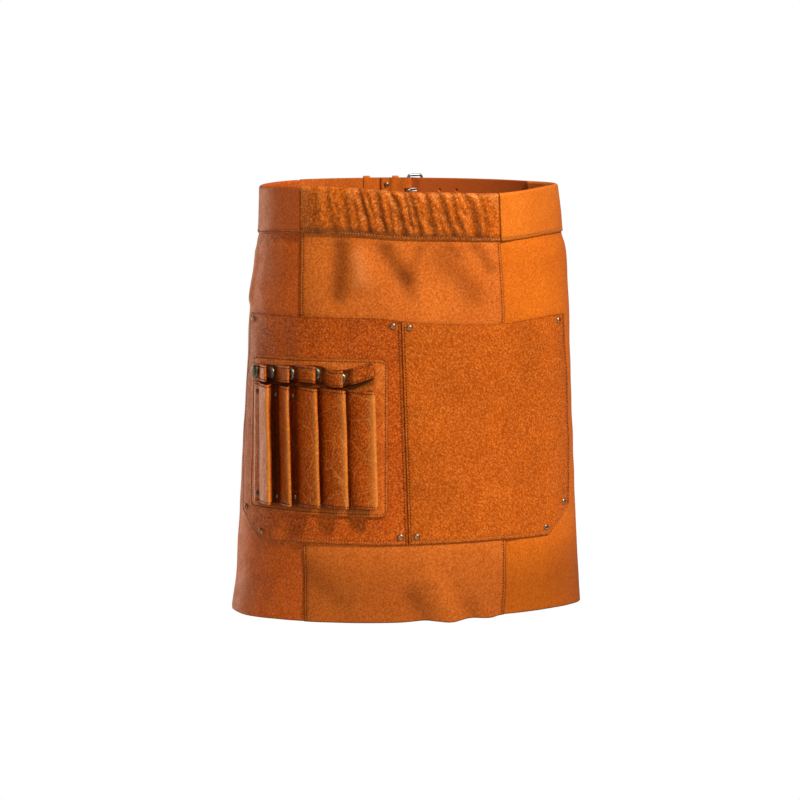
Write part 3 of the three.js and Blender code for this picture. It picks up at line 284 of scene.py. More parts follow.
@dataclass(frozen=True)
class Ripple:
    """Slow unevenness of a hide: a sum of waves in seeded directions."""

    seed: int
    shortest: float
    longest: float
    waves: int = 14

    def at(self, u: Array, z: Array) -> Array:
        """Reads the ripple.

        Args:
            u: lengths along the leather, mm.
            z: heights, mm.

        Returns:
            Heights of about -1 to 1.
        """
        draw = np.random.default_rng(self.seed)
        total = np.zeros(np.broadcast(u, z).shape)
        for _ in range(self.waves):
            wave = draw.uniform(self.shortest, self.longest)
            turn = draw.uniform(0.0, math.pi)
            phase = draw.uniform(0.0, 2.0 * math.pi)
            run = u * math.cos(turn) + z * math.sin(turn)
            total += np.sin(2.0 * math.pi * run / wave + phase)
        return total / math.sqrt(2.0 * self.waves)


@dataclass
class Form:
    """The apron's worn form. u runs along the leather from the front middle, to the right.

    z is the height and d the distance out of the body of the skirt, all in millimetres.
    """

    length: float = 480.0
    waist_width: float = 332.0
    waist_depth: float = 212.0
    band_height: float = 53.0
    band_reach: float = 291.0
    panel_half: float = 114.0
    leather: float = 1.6
    gap: float = 0.35
    seam_lap: float = 10.0
    step_width: float = 20.0
    band_grip: float = 12.0
    band_slack: float = 0.8
    back_flare: float = 0.12
    fold_height: float = 4.0
    pocket_drop: float = 142.0
    pocket_height: float = 249.0
    pocket_reach: float = 213.0
    chamfer_width: float = 38.0
    chamfer_height: float = 30.0
    pocket_seam_start: float = 1.5
    pocket_seam_shift: float = 9.0
    plate_inset: float = 24.0
    plate_width: float = 177.0
    plate_drop: float = 45.5
    plate_height: float = 173.5
    plate_corner: float = 9.0
    ripple: Ripple = Ripple(seed=11, shortest=28.0, longest=120.0)
    ripple_height: float = 0.5
    turn_steps: int = 900

    def __post_init__(self) -> None:
        """Works out the levels and the table from lengths along the leather to angles."""
        self.top = self.band_height / 2.0
        self.band_foot = self.top - self.band_height
        self.hem_level = self.top - self.length
        self.pocket_top_level = self.top - self.pocket_drop
        self.levels = np.arange(self.hem_level - 30.0, self.top + 30.0, 2.0)
        turns = np.linspace(-1.3 * math.pi, 1.3 * math.pi, self.turn_steps * 2 + 1)
        self.steps = np.arange(-620.0, 621.0, 1.0)
        rows = []
        backs = []
        for level in self.levels:
            points = self.ring(turns, np.full_like(turns, level))[0]
            runs = np.hypot(np.diff(points[..., 0]), np.diff(points[..., 1]))
            lengths = np.concatenate(([0.0], np.cumsum(runs)))
            lengths -= np.interp(0.0, turns, lengths)
            rows.append(np.interp(self.steps, lengths, turns))
            backs.append(np.interp(math.pi, turns, lengths))
        self.angles = np.array(rows)
        self.back_lengths = np.array(backs)

    def half(self, column: str, size: float, z: Array) -> Array:
        """Half of one size of the level section at height z."""
        return follow(SECTIONS, "drop", column, (self.top - z) / self.length) * size / 2.0

    def ring(self, turn: Array, z: Array) -> tuple[Array, Array]:
        """Points on the level section.

        Args:
            turn: angles from the front middle.
            z: heights, mm.

        Returns:
            The points and the level outward directions there, each with x and y.
        """
        sine, cosine = np.sin(turn), np.cos(turn)
        width = np.where(
            sine < 0, self.half("left", self.waist_width, z), self.half("right", self.waist_width, z)
        )
        depth = np.where(
            cosine > 0, self.half("front", self.waist_depth, z), self.half("back", self.waist_depth, z)
        )
        out = np.stack((depth * sine, -width * cosine), axis=-1)
        out /= np.linalg.norm(out, axis=-1, keepdims=True)
        return np.stack((width * sine, -depth * cosine), axis=-1), out

    def place(self, u: Any, z: Any, d: Any) -> Array:
        """Points of the worn form, mm.

        Args:
            u: lengths along the leather.
            z: heights.
            d: distances out.

        Returns:
            The points, with x, y and z in the last axis.
        """
        u, z, d = np.broadcast_arrays(np.asarray(u, float), np.asarray(z, float), np.asarray(d, float))
        row = np.clip((z - self.levels[0]) / 2.0, 0, len(self.levels) - 1.001)
        column = np.clip(u - self.steps[0], 0, len(self.steps) - 1.001)
        i, j = row.astype(int), column.astype(int)
        fi, fj = row - i, column - j
        low = mix(self.angles[i, j], self.angles[i, j + 1], fj)
        high = mix(self.angles[i + 1, j], self.angles[i + 1, j + 1], fj)
        points, out = self.ring(mix(low, high, fi), z)
        return np.concatenate((points + out * d[..., None], z[..., None]), axis=-1)

    def back_place(self, b: Any, z: Any, d: Any) -> Array:
        """Points of the back closure: b runs to the photograph's right from the back middle."""
        b, z, d = np.broadcast_arrays(np.asarray(b, float), np.asarray(z, float), np.asarray(d, float))
        return self.place(np.interp(z, self.levels, self.back_lengths) - b, z, d)

    def folds(self, u: Array, z: Array) -> Array:
        """Height of the skirt's folds and dents, as a share of the fold height."""
        height = np.zeros(np.broadcast(u, z).shape)
        for fold in FOLDS:
            ax, bx = fold.across * self.panel_half, fold.to_across * self.panel_half
            az, bz = self.top - fold.drop * self.length, self.top - fold.to_drop * self.length
            run = (bx - ax) ** 2 + (bz - az) ** 2
            t = np.clip(((u - ax) * (bx - ax) + (z - az) * (bz - az)) / run, 0.0, 1.0)
            away = np.hypot(u - mix(ax, bx, t), z - mix(az, bz, t))
            height += fold.height * bell(away, fold.spread * self.panel_half)
        return height

    def relief(self, u: Array, z: Array) -> Array:
        """Height of the skirt's folds, dents and slow ripple, none of it under the band."""
        height = self.fold_height * self.folds(u, z) + self.ripple_height * self.ripple.at(u, z)
        return height * smooth((self.band_bottom(u) - z) / (self.band_height / 4.0))

    def fold_shade(self, u: Array, z: Array) -> Array:
        """Painted light of the folds: a painted highlight on the ridges, painted shade in the valleys."""
        folds = self.folds(u, z)
        strength = mix(0.3, 0.75, smooth((z - self.hem(u)) / (self.length / 4.0)))
        return strength * (np.clip(folds, -1.0, 0.0) + 0.45 * np.clip(folds, 0.0, 0.6))

    def skirt(self, u: Any, z: Any, d: Any) -> Array:
        """Points on the skirt, with its folds."""
        return self.place(u, z, d + self.relief(np.asarray(u, float), np.asarray(z, float)))

    def seam(self, side: Side, z: Array) -> Array:
        """Where a skirt seam runs."""
        reach = follow(SEAMS, "drop", side.word, (self.top - z) / self.length)
        return side.value * reach * self.panel_half

    def skirt_face(self, u: Array, z: Array) -> Array:
        """Outer face of the skirt: two layers between its seams and one beyond them."""
        beyond = np.maximum(self.seam(Side.LEFT, z) - u, u - self.seam(Side.RIGHT, z)) - self.gap
        share = np.clip(beyond / self.step_width, 0.0, 1.0)
        return self.leather + (self.leather + self.gap) * (1.0 - share)

    def band_bottom(self, u: Array) -> Array:
        """Lower edge of the waistband."""
        return self.band_foot + follow(BAND_LEVEL, "across", "lift", u / self.band_reach) * self.band_height

    def hem(self, u: Array) -> Array:
        """Lower edge of the skirt."""
        return self.hem_level + follow(HEM_LEVEL, "across", "lift", u / self.band_reach) * self.length

    def pocket_top(self, u: Array) -> Array:
        """Upper edge of the pockets."""
        lift = follow(POCKET_LEVEL, "across", "top", u / self.pocket_reach)
        return self.pocket_top_level + lift * self.pocket_height

    def pocket_bottom(self, side: Side, u: Array) -> Array:
        """Lower edge of a pocket, with its outer corner cut off."""
        lift = follow(POCKET_LEVEL, "across", "bottom", u / self.pocket_reach) * self.pocket_height
        inward = np.abs(side.value * self.pocket_reach - u)
        corner = self.chamfer_height * np.maximum(1.0 - inward / self.chamfer_width, 0.0)
        return self.pocket_top_level - self.pocket_height + lift + corner

    def pocket_edge(self, side: Side, z: Array) -> Array:
        """Outer edge of a pocket."""
        down = (self.pocket_top_level - z) / self.pocket_height
        return side.value * follow(POCKET_SIDES, "down", side.word, down) * self.pocket_reach

    def pocket_seam(self, z: Array) -> Array:
        """Middle seam between the pockets."""
        return self.pocket_seam_start + self.pocket_seam_shift * (
            self.pocket_top_level - z
        ) / self.pocket_height

    def pocket_inner(self, u: Array, z: Array) -> Array:
        """Body side of a pocket."""
        return self.skirt_face(u, z) + self.gap

    def pocket_face(self, u: Array, z: Array) -> Array:
        """Outer face of a pocket."""
        return self.pocket_inner(u, z) + self.leather

    def plate_inner(self, u: Array, z: Array) -> Array:
        """Body side of the tool holder's plate."""
        return self.pocket_face(u, z) + self.gap

    def plate_face(self, u: Array, z: Array) -> Array:
        """Outer face of the tool holder's plate."""
        return self.plate_inner(u, z) + self.leather

    def plate_u(self, share: float) -> float:
        """Place across the plate."""
        return -self.pocket_reach + self.plate_inset + share * self.plate_width

    def corner_drop(self, u: Array) -> Array:
        """Height taken off the plate's outline where its corners round off."""
        edge = np.minimum(u - self.plate_u(0), self.plate_u(1) - u)
        inside = self.plate_corner - np.clip(edge, 0.0, self.plate_corner)
        return self.plate_corner - np.sqrt(self.plate_corner**2 - inside**2)

    def plate_top(self, u: Array) -> Array:
        """Upper edge of the plate."""
        return self.pocket_top(u) - self.plate_drop - self.corner_drop(u)

    def plate_bottom(self, u: Array) -> Array:
        """Lower edge of the plate."""
        return self.pocket_top_level - self.plate_drop - self.plate_height + self.corner_drop(u)


# Meshes


def make_object(
    name: str,
    points: Array,
    faces: Sequence[Sequence[int]],
    tone: Array | None = None,
    flesh: tuple[float, float] = (0.0, 0.0),
) -> bpy.types.Object:
    """Makes a smooth mesh object.

    Args:
        name: the piece's name.
        points: its corners, mm.
        faces: corner numbers of each face.
        tone: how much lighter, above zero, with wear and painted highlight, or darker, below zero,
            with painted shade and dark edges, the surface is at each corner of one face of the leather.
            The other face follows with the same values.
        flesh: how much of each face shows the hide's rough flesh side.

    Returns:
        The new object.
    """
    mesh = bpy.data.meshes.new(name)
    mesh.from_pydata((points.reshape(-1, 3) * MM).tolist(), [], faces)
    shell = bmesh.new()
    shell.from_mesh(mesh)
    bmesh.ops.recalc_face_normals(shell, faces=shell.faces)
    shell.to_mesh(mesh)
    shell.free()
    mesh.shade_smooth()
    if tone is not None:
        size = len(mesh.vertices)
        sides = np.where(np.arange(size) < tone.size, *flesh)
        for title, values in (("tone", np.resize(tone, size)), ("flesh", sides)):
            layer = mesh.attributes.new(title, "FLOAT", "POINT")
            layer.data.foreach_set("value", values.astype(np.float32))
    piece = bpy.data.objects.new(name, mesh)
    bpy.context.scene.collection.objects.link(piece)
    return piece


def wall_faces(columns: int, rows: int) -> list[tuple[int, ...]]:
    """Faces of a closed wall between an outer and an inner grid of the same size.

    Args:
        columns: lines of points across.
        rows: points in each line.

    Returns:
        Corner numbers, the outer grid's first.
    """
    size = columns * rows
    index = np.arange(size).reshape(columns, rows)
    quads = np.stack(
        (index[:-1, :-1], index[1:, :-1], index[1:, 1:], index[:-1, 1:]), axis=-1
    ).reshape(-1, 4)
    rim = np.concatenate((index[:, 0], index[-1, 1:], index[-2::-1, -1], index[0, -2:0:-1]))
    around = np.roll(rim, -1)
    band = np.stack((rim, rim + size, around + size, around), axis=-1)
    faces = np.concatenate((quads, quads[:, ::-1] + size, band))
    return [tuple(face) for face in faces.tolist()]


@dataclass(frozen=True)
class Spread:
    """Where a sheet's lines fall between two edges: a share of the way and a distance on."""

    shares: Array
    offsets: Array

    @classmethod
    def even(cls, size: float, step: float, near: Sequence[float]) -> "Spread":
        """Spreads lines evenly, with chosen ones close to both edges.

        Args:
            size: distance between the edges, mm.
            step: spacing of the even lines, mm.
            near: distances of the chosen lines from each edge, mm.

        Returns:
            The spread.
        """
        margin = near[-1]
        count = max(int(round((size - 2.0 * margin) / step)), 1)
        inner = np.arange(1, count) / count
        shares = np.concatenate((np.zeros(len(near)), inner, np.ones(len(near))))
        close = np.array(near)
        offsets = np.concatenate((close, margin * (1.0 - 2.0 * inner), -close[::-1]))
        return cls(shares, offsets)


@dataclass
class Sheet:
    """A leather sheet on the form, between four edges."""

    name: str
    form: Form
    left: Line
    right: Line
    low: Line
    high: Line
    inner: Depth
    thickness: float = 1.6
    step: float = 3.0
    edge_round: float = 0.5
    stitch_inset: float = 3.0
    groove: float = 0.35
    stitched: str = ""
    lifted: Depth | None = None
    shade: Depth | None = None
    area: float = 0.0
    flat: tuple[float, float] = (0.0, 0.0)

    def near(self, stitched: bool) -> tuple[float, ...]:
        """Distances of the lines close to an edge, with a groove's lines if it is stitched."""
        close = (0.0, self.edge_round)
        if not stitched:
            return (*close, 1.6)
        inset = self.stitch_inset
        return (*close, inset - 1.3, inset - 0.5, inset + 0.5, inset + 1.3)

    def edges(self, u: Array, z: Array) -> dict[str, Array]:
        """Distances of places from the four edges."""
        return {
            "left": u - self.left(z),
            "right": self.right(z) - u,
            "low": z - self.low(u),
            "high": self.high(u) - z,
        }

    def outer(self, u: Any, z: Any) -> Array:
        """Distance out of the sheet's face, with its stitched grooves and slight lifts."""
        depth = self.inner(u, z) + self.thickness
        if self.lifted is not None:
            depth = depth + self.lifted(u, z)
        if self.stitched:
            away = self.edges(u, z)
            inside = np.ones(np.broadcast(u, z).shape)
            for side in away.values():
                inside = inside * smooth((side - self.stitch_inset + 1.5) / 1.0)
            for side in self.stitched.split():
                depth = depth - self.groove * bell(away[side] - self.stitch_inset, 0.9) * inside
        return depth

    def face(self, u: Any, z: Any, lift: float = 0.0) -> Array:
        """Points on or over the sheet's face."""
        u, z = np.asarray(u, float), np.asarray(z, float)
        return self.form.skirt(u, z, self.outer(u, z) + lift)

    def build(self) -> bpy.types.Object:
        """Builds the sheet as a closed mesh with softened cut edges.

        Returns:
            The new object.
        """
        form = self.form
        middle = (self.low(np.zeros(1))[0] + self.high(np.zeros(1))[0]) / 2.0
        level = np.full(1, middle)
        width = float(self.right(level)[0] - self.left(level)[0])
        across = float((self.left(level)[0] + self.right(level)[0]) / 2.0)
        height = float(self.high(np.full(1, across))[0] - self.low(np.full(1, across))[0])
        sides = "left" in self.stitched or "right" in self.stitched
        ends = "low" in self.stitched or "high" in self.stitched
        columns = Spread.even(width, self.step, self.near(sides))
        rows = Spread.even(height, self.step, self.near(ends))
        z = np.full((len(columns.shares), len(rows.shares)), middle)
        u = z
        for _ in range(6):
            u = mix(self.left(z), self.right(z), columns.shares[:, None]) + columns.offsets[:, None]
            z = mix(self.low(u), self.high(u), rows.shares[None, :]) + rows.offsets[None, :]
        across_one = (u[1:, 1:] - u[:-1, :-1]) * (z[:-1, 1:] - z[1:, :-1])
        across_two = (u[:-1, 1:] - u[1:, :-1]) * (z[1:, 1:] - z[:-1, :-1])
        self.area = float(np.abs(across_one - across_two).sum() / 2.0)
        self.flat = (float(np.ptp(u)) + 1.0, float(np.ptp(z)) + 1.0)
        rim = np.zeros(u.shape)
        rim[[0, -1], :] = 1.0
        rim[:, [0, -1]] = 1.0
        outer = form.skirt(u, z, self.outer(u, z) - self.edge_round * rim)
        under = self.inner(u, z) + (0.0 if self.lifted is None else self.lifted(u, z))
        inner = form.skirt(u, z, under + self.edge_round * rim)
        away = self.edges(u, z)
        closest = np.minimum.reduce(list(away.values()))
        # Painted highlight and painted shade of the folds, darker along the cut edges and stitch grooves,
        # then the sheet's own painted shade
        tone = form.fold_shade(u, z) - 0.75 * bell(closest, 0.8)
        for side in self.stitched.split():
            tone = tone - 0.26 * bell(away[side] - self.stitch_inset, 1.2)
        if self.shade is not None:
            tone = tone + self.shade(u, z)
        points = np.concatenate((outer.reshape(-1, 3), inner.reshape(-1, 3)))
        return make_object(self.name, points, wall_faces(*u.shape), tone, (0.0, 1.0))

    def sew(self, stitches: "Stitching", sides: str) -> None:
        """Lays stitches along some of the sheet's edges.

        Args:
            stitches: the row that gets them.
            sides: the edges' names.
        """
        inset = self.stitch_inset
        for side in sides.split():
            if side in ("left", "right"):
                edge, inward = (self.left, inset) if side == "left" else (self.right, -inset)
                middle = float(edge(np.zeros(1) - 200.0)[0]) + inward
                start = float(self.low(np.array([middle]))[0]) + inset
                end = float(self.high(np.array([middle]))[0]) - 1.0
                z = np.arange(start, end, 1.0)
                stitches.lay(self.face, edge(z) + inward, z)
            else:
                level, inward = (self.low, inset) if side == "low" else (self.high, -inset)
                z = np.full(1, float(level(np.zeros(1))[0]))
                u = np.arange(float(self.left(z)[0]) + inset, float(self.right(z)[0]) - inset, 1.0)
                stitches.lay(self.face, u, level(u) + inward)


@dataclass
class Stitching:
    """A row of thread stitches. Drawn a little bolder than real thread, so that it shows."""

    name: str
    pitch: float = 3.1
    length: float = 2.0
    radius: float = 0.55
    sides: int = 6
    points: list[Array] = field(default_factory=list)
    faces: list[tuple[int, ...]] = field(default_factory=list)

    def lay(self, face: Callable[..., Array], u: Array, z: Array) -> None:
        """Lays stitches along a path on a face.

        Args:
            face: gives points for lengths, heights and a lift.
            u: the path's lengths along the leather, mm.
            z: the path's heights, mm.
        """
        path = face(u, z)
        runs = np.concatenate(([0.0], np.cumsum(np.linalg.norm(np.diff(path, axis=0), axis=1))))
        count = int(runs[-1] / self.pitch)
        if count < 1:
            return
        centres = (np.arange(count) + 0.5) * runs[-1] / count
        def along(shift: float, lift: float) -> Array:
            """Points of the path moved along it and lifted."""
            at = np.clip(centres + shift, 0.0, runs[-1])
            return face(np.interp(at, runs, u), np.interp(at, runs, z), lift)
        half = self.length / 2.0
        middle = along(0.0, 0.0)
        run = along(half, 0.0) - along(-half, 0.0)
        run /= np.linalg.norm(run, axis=1, keepdims=True)
        out = along(0.0, 1.0) - middle
        side = np.cross(run, out)
        side /= np.linalg.norm(side, axis=1, keepdims=True)
        out = np.cross(side, run)
        profile = (
            (-1.0, 0.25, -0.55), (-0.75, 0.8, -0.1), (0.0, 1.0, 0.35), (0.75, 0.8, -0.1), (1.0, 0.25, -0.55)
        )
        rings = []
        for share, width, rise in profile:
            for corner in range(self.sides):
                angle = 2.0 * math.pi * corner / self.sides
                across = width * self.radius * math.cos(angle)
                up = self.radius * (rise + width * math.sin(angle))
                rings.append(middle + run * (share * half) + side * across + out * up)
        stitches = np.stack(rings, axis=1)
        template = []
        for ring in range(len(profile) - 1):
            for corner in range(self.sides):
                after = (corner + 1) % self.sides
                base = ring * self.sides
                template.append(
                    (base + corner, base + after, base + self.sides + after, base + self.sides + corner)
                )
        template.append(tuple(range(self.sides))[::-1])
        template.append(tuple((len(profile) - 1) * self.sides + corner for corner in range(self.sides)))
        base = sum(len(part) for part in self.points)
        size = len(profile) * self.sides
        for number in range(count):
            for shape in template:
                self.faces.append(tuple(base + number * size + corner for corner in shape))
        self.points.append(stitches.reshape(-1, 3))

    def build(self) -> bpy.types.Object:
        """Makes one mesh of all the stitches laid so far."""
        return make_object(self.name, np.concatenate(self.points), self.faces)


# Finishes


def linear(colour: str) -> tuple[float, float, float, float]:
    """Turns an sRGB hex colour to linear light.

    Args:
        colour: six hex digits.

    Returns:
        Red, green, blue and an alpha of 1.
    """
    parts = [int(colour[k : k + 2], 16) / 255.0 for k in (0, 2, 4)]
    red, green, blue = (c / 12.92 if c <= 0.04045 else ((c + 0.055) / 1.055) ** 2.4 for c in parts)
    return red, green, blue, 1.0


def add_node(
    material: bpy.types.Material | bpy.types.World,
    kind: str,
    inputs: dict[Any, Any] | None = None,
    output: str = "",
    **settings: Any,
) -> bpy.types.NodeSocket | None:
    """Adds a node with its settings, values and links.

    Args:
        material: the material, or the world, that gets it.
        kind: Blender's name of the node.
        inputs: a value or an output socket for each named or numbered input.
        output: name of the output that is wanted, or else the first one in use.
        settings: the node's own settings.

    Returns:
        The node's output, if it has one.
    """
    tree = material.node_tree
    node = tree.nodes.new(kind)
    for name, value in settings.items():
        setattr(node, name, value)
    for name, value in (inputs or {}).items():
        if isinstance(name, int):
            socket = node.inputs[name]
        else:
            socket = next(entry for entry in node.inputs if entry.name == name and entry.enabled)
        if isinstance(value, bpy.types.NodeSocket):
            tree.links.new(value, socket)
        else:
            socket.default_value = value
    return next((entry for entry in node.outputs if entry.enabled and output in ("", entry.name)), None)


def per_metre(size: float) -> float:
    """Scale of a pattern whose features are this many millimetres wide."""
    return 1.0 / (size * MM)


def new_material(name: str) -> bpy.types.Material:
    """Makes an empty node material."""
    material = bpy.data.materials.new(name)
    material.use_nodes = True
    material.node_tree.nodes.clear()
    return material


@dataclass(frozen=True)
class LeatherFinish:
    """Full-grain cowhide, drum dyed and lightly waxed: a satin face over a pebbled grain.

    The grain is drawn coarser than on the hide, so that it shows at this size.
    """

    name: str
    face: str
    deep: str
    # Colour of worn places and grain crests, also used for the painted highlights
    worn: str
    grain_mm: float = 2.3
    grain_depth: float = 0.32
    grain_dark: float = 0.5
    grain_light: float = 0.32
    slant: float = 0.6
    stretch: float = 1.5
    blotch_mm: float = 75.0
    blotch: float = 0.4
    crease: float = 0.15
    crease_mm: float = 27.0
    crease_worn: bool = False
    roughness: float = 0.46
    gloss: float = 0.4
    glaze: str = "ffb468"
    shadow: float = 0.25
    flesh: str = "7a4526"
    seed: float = 0.0

    def material(self) -> bpy.types.Material:
        """Builds the finish.

        Returns:
            The material.
        """
        made = new_material(self.name)
        deep, worn = linear(self.deep), linear(self.worn)
        shadow = (*(part * self.shadow for part in deep[:3]), 1.0)
        place = add_node(made, "ShaderNodeTexCoord", output="Object")
        start = (self.seed, self.seed * 0.7, 0.0)
        moved = add_node(made, "ShaderNodeVectorMath", {0: place, 1: start}, operation="ADD")
        slanted = add_node(
            made,
            "ShaderNodeMapping",
            {"Vector": moved, "Rotation": (0.0, self.slant, 0.0), "Scale": (1.0, 1.0, self.stretch)},
            vector_type="TEXTURE",
        )

        # Dye takes unevenly: wide blotches, and smaller clouds inside them
        cloud = add_node(
            made,
            "ShaderNodeTexNoise",
            {"Vector": moved, "Scale": per_metre(13.0), "Detail": 4.0, "Roughness": 0.6},
        )
        wide = add_node(
            made,
            "ShaderNodeTexNoise",
            {"Vector": moved, "Scale": per_metre(self.blotch_mm), "Detail": 3.0, "Distortion": 0.6},
        )
        dye = add_node(made, "ShaderNodeMix", {"Factor": 0.35, "A": wide, "B": cloud}, data_type="FLOAT")
        taken = add_node(
            made,
            "ShaderNodeMapRange",
            {"Value": dye, "From Min": 0.36, "From Max": 0.66, "To Min": 0.0, "To Max": self.blotch},
        )
        dyed = add_node(
            made, "ShaderNodeMix", {"Factor": taken, "A": linear(self.face), "B": deep}, data_type="RGBA"
        )

        # The grain's cells, warped so that no two are alike, and drawn out one way
        warp = add_node(
            made,
            "ShaderNodeTexNoise",
            {"Vector": moved, "Scale": per_metre(6.0), "Detail": 2.0},
            output="Color",
        )
        shift = add_node(made, "ShaderNodeVectorMath", {0: warp, "Scale": 2.6 * MM}, operation="SCALE")
        warped = add_node(made, "ShaderNodeVectorMath", {0: slanted, 1: shift}, operation="ADD")
        cells = add_node(
            made,
            "ShaderNodeTexVoronoi",
            {"Vector": warped, "Scale": per_metre(self.grain_mm), "Smoothness": 0.3},
            feature="SMOOTH_F1",
        )
        pebble = add_node(
            made,
            "ShaderNodeMapRange",
            {"Value": cells, "From Min": 0.15, "From Max": 0.72, "To Min": 1.0, "To Max": 0.0},
        )
        fleck = add_node(
            made,
            "ShaderNodeTexNoise",
            {"Vector": warped, "Scale": per_metre(self.grain_mm * 0.9), "Detail": 3.0, "Roughness": 0.65},
        )
        streak = add_node(made, "ShaderNodeMapRange", {"Value": fleck, "From Min": 0.34, "From Max": 0.66})
        grain = add_node(
            made, "ShaderNodeMix", {"Factor": 0.55, "A": pebble, "B": streak}, data_type="FLOAT"
        )
        furrow = add_node(
            made,
            "ShaderNodeMapRange",
            {"Value": grain, "From Min": 0.15, "From Max": 0.55, "To Min": self.grain_dark, "To Max": 0.0},
        )
        furrowed = add_node(
            made, "ShaderNodeMix", {"Factor": furrow, "A": dyed, "B": deep}, data_type="RGBA"
        )
        crest = add_node(
            made,
            "ShaderNodeMapRange",
            {"Value": grain, "From Min": 0.52, "From Max": 0.85, "To Min": 0.0, "To Max": self.grain_light},
        )
        lit = add_node(made, "ShaderNodeMix", {"Factor": crest, "A": furrowed, "B": worn}, data_type="RGBA")

        # Fine drawn lines where the hide has flexed
        flexed = add_node(
            made,
            "ShaderNodeTexVoronoi",
            {"Vector": warped, "Scale": per_metre(self.crease_mm)},
            feature="DISTANCE_TO_EDGE",
        )
        line = add_node(
            made,
            "ShaderNodeMapRange",
            {"Value": flexed, "From Min": 0.0, "From Max": 0.025, "To Min": 1.0, "To Max": 0.0},
        )
        drawn = add_node(made, "ShaderNodeMath", {0: line, 1: self.crease * 0.6}, operation="MULTIPLY")
        lined = add_node(
            made,
            "ShaderNodeMix",
            {"Factor": drawn, "A": lit, "B": worn if self.crease_worn else deep},
            data_type="RGBA",
        )

        # Wear and painted highlight lighten towards the worn colour, painted shade darkens towards the
        # shadow colour; then the flesh side with its nap
        tone = add_node(made, "ShaderNodeAttribute", output="Fac", attribute_name="tone")
        wear_and_highlight = add_node(made, "ShaderNodeMath", {0: tone, 1: 0.0}, operation="MAXIMUM")
        dark = add_node(made, "ShaderNodeMath", {0: tone, 1: -0.9}, operation="MULTIPLY", use_clamp=True)
        shaded = add_node(
            made, "ShaderNodeMix", {"Factor": dark, "A": lined, "B": shadow}, data_type="RGBA"
        )
        face = add_node(made, "ShaderNodeMix", {"Factor": wear_and_highlight, "A": shaded, "B": worn}, data_type="RGBA")
        side = add_node(made, "ShaderNodeAttribute", output="Fac", attribute_name="flesh")
        nap = add_node(
            made,
            "ShaderNodeTexNoise",
            {"Vector": moved, "Scale": per_metre(2.4), "Detail": 5.0, "Roughness": 0.75},
        )
        napped = add_node(
            made,
            "ShaderNodeMapRange",
            {"Value": nap, "From Min": 0.3, "From Max": 0.7, "To Min": 0.0, "To Max": 0.55},
        )
        suede = add_node(
            made, "ShaderNodeMix", {"Factor": napped, "A": linear(self.flesh), "B": deep}, data_type="RGBA"
        )
        colour = add_node(made, "ShaderNodeMix", {"Factor": side, "A": face, "B": suede}, data_type="RGBA")

        # Satin where the wax lies, dull on the flesh side, and raised by the grain
        satin = add_node(
            made,
            "ShaderNodeMapRange",
            {
                "Value": cloud,
                "From Min": 0.3,
                "From Max": 0.7,
                "To Min": self.roughness - 0.08,
                "To Max": self.roughness + 0.1,
            },
        )
        rough = add_node(made, "ShaderNodeMix", {"Factor": side, "A": satin, "B": 0.9}, data_type="FLOAT")
        pores = add_node(
            made, "ShaderNodeTexNoise", {"Vector": moved, "Scale": per_metre(0.9), "Detail": 2.0}
        )
        height = add_node(made, "ShaderNodeMix", {"Factor": side, "A": grain, "B": nap}, data_type="FLOAT")
        normal = None
        for relief, strength, depth, sunk in (
            (height, 1.0, self.grain_depth, False),
            (pores, 0.6, 0.07, False),
            (line, self.crease, 0.4, True),
        ):
            raised = {"Height": relief, "Strength": strength, "Distance": depth * MM}
            if normal is not None:
                raised["Normal"] = normal
            normal = add_node(made, "ShaderNodeBump", raised, invert=sunk)
        shader = add_node(
            made,
            "ShaderNodeBsdfPrincipled",
            {
                "Base Color": colour,
                "Roughness": rough,
                "Normal": normal,
                "IOR": 1.5,
                "Specular IOR Level": self.gloss,
                "Specular Tint": linear(self.glaze),
            },
        )
        add_node(made, "ShaderNodeOutputMaterial", {"Surface": shader})
        return made


@dataclass(frozen=True)
class MetalFinish:
    """Stamped nickel plate: antique with a dark patina in its spots, or satin and even."""

    name: str
    bright: str
    dull: str
    roughness: float
    patina: float = 0.5
    spot_mm: float = 3.0

    def material(self) -> bpy.types.Material:
        """Builds the finish.

        Returns:
            The material.
        """
        made = new_material(self.name)
        place = add_node(made, "ShaderNodeTexCoord", output="Object")
        spots = add_node(
            made, "ShaderNodeTexNoise", {"Vector": place, "Scale": per_metre(self.spot_mm), "Detail": 4.0}
        )
        share = add_node(
            made,
            "ShaderNodeMapRange",
            {"Value": spots, "From Min": 0.35, "From Max": 0.65, "To Min": 0.0, "To Max": self.patina},
        )
        colour = add_node(
            made,
            "ShaderNodeMix",
            {"Factor": share, "A": linear(self.bright), "B": linear(self.dull)},
            data_type="RGBA",
        )
        rough = add_node(
            made,
            "ShaderNodeMapRange",
            {"Value": spots, "To Min": self.roughness * 0.8, "To Max": self.roughness * 1.3},
        )
        scratches = add_node(
            made, "ShaderNodeTexNoise", {"Vector": place, "Scale": per_metre(0.5), "Detail": 2.0}
        )
        bump = add_node(
            made, "ShaderNodeBump", {"Height": scratches, "Strength": 0.25, "Distance": 0.03 * MM}
        )
        shader = add_node(
            made,
            "ShaderNodeBsdfPrincipled",
            {"Base Color": colour, "Metallic": 1.0, "Roughness": rough, "Normal": bump},
        )
        add_node(made, "ShaderNodeOutputMaterial", {"Surface": shader})
        return made


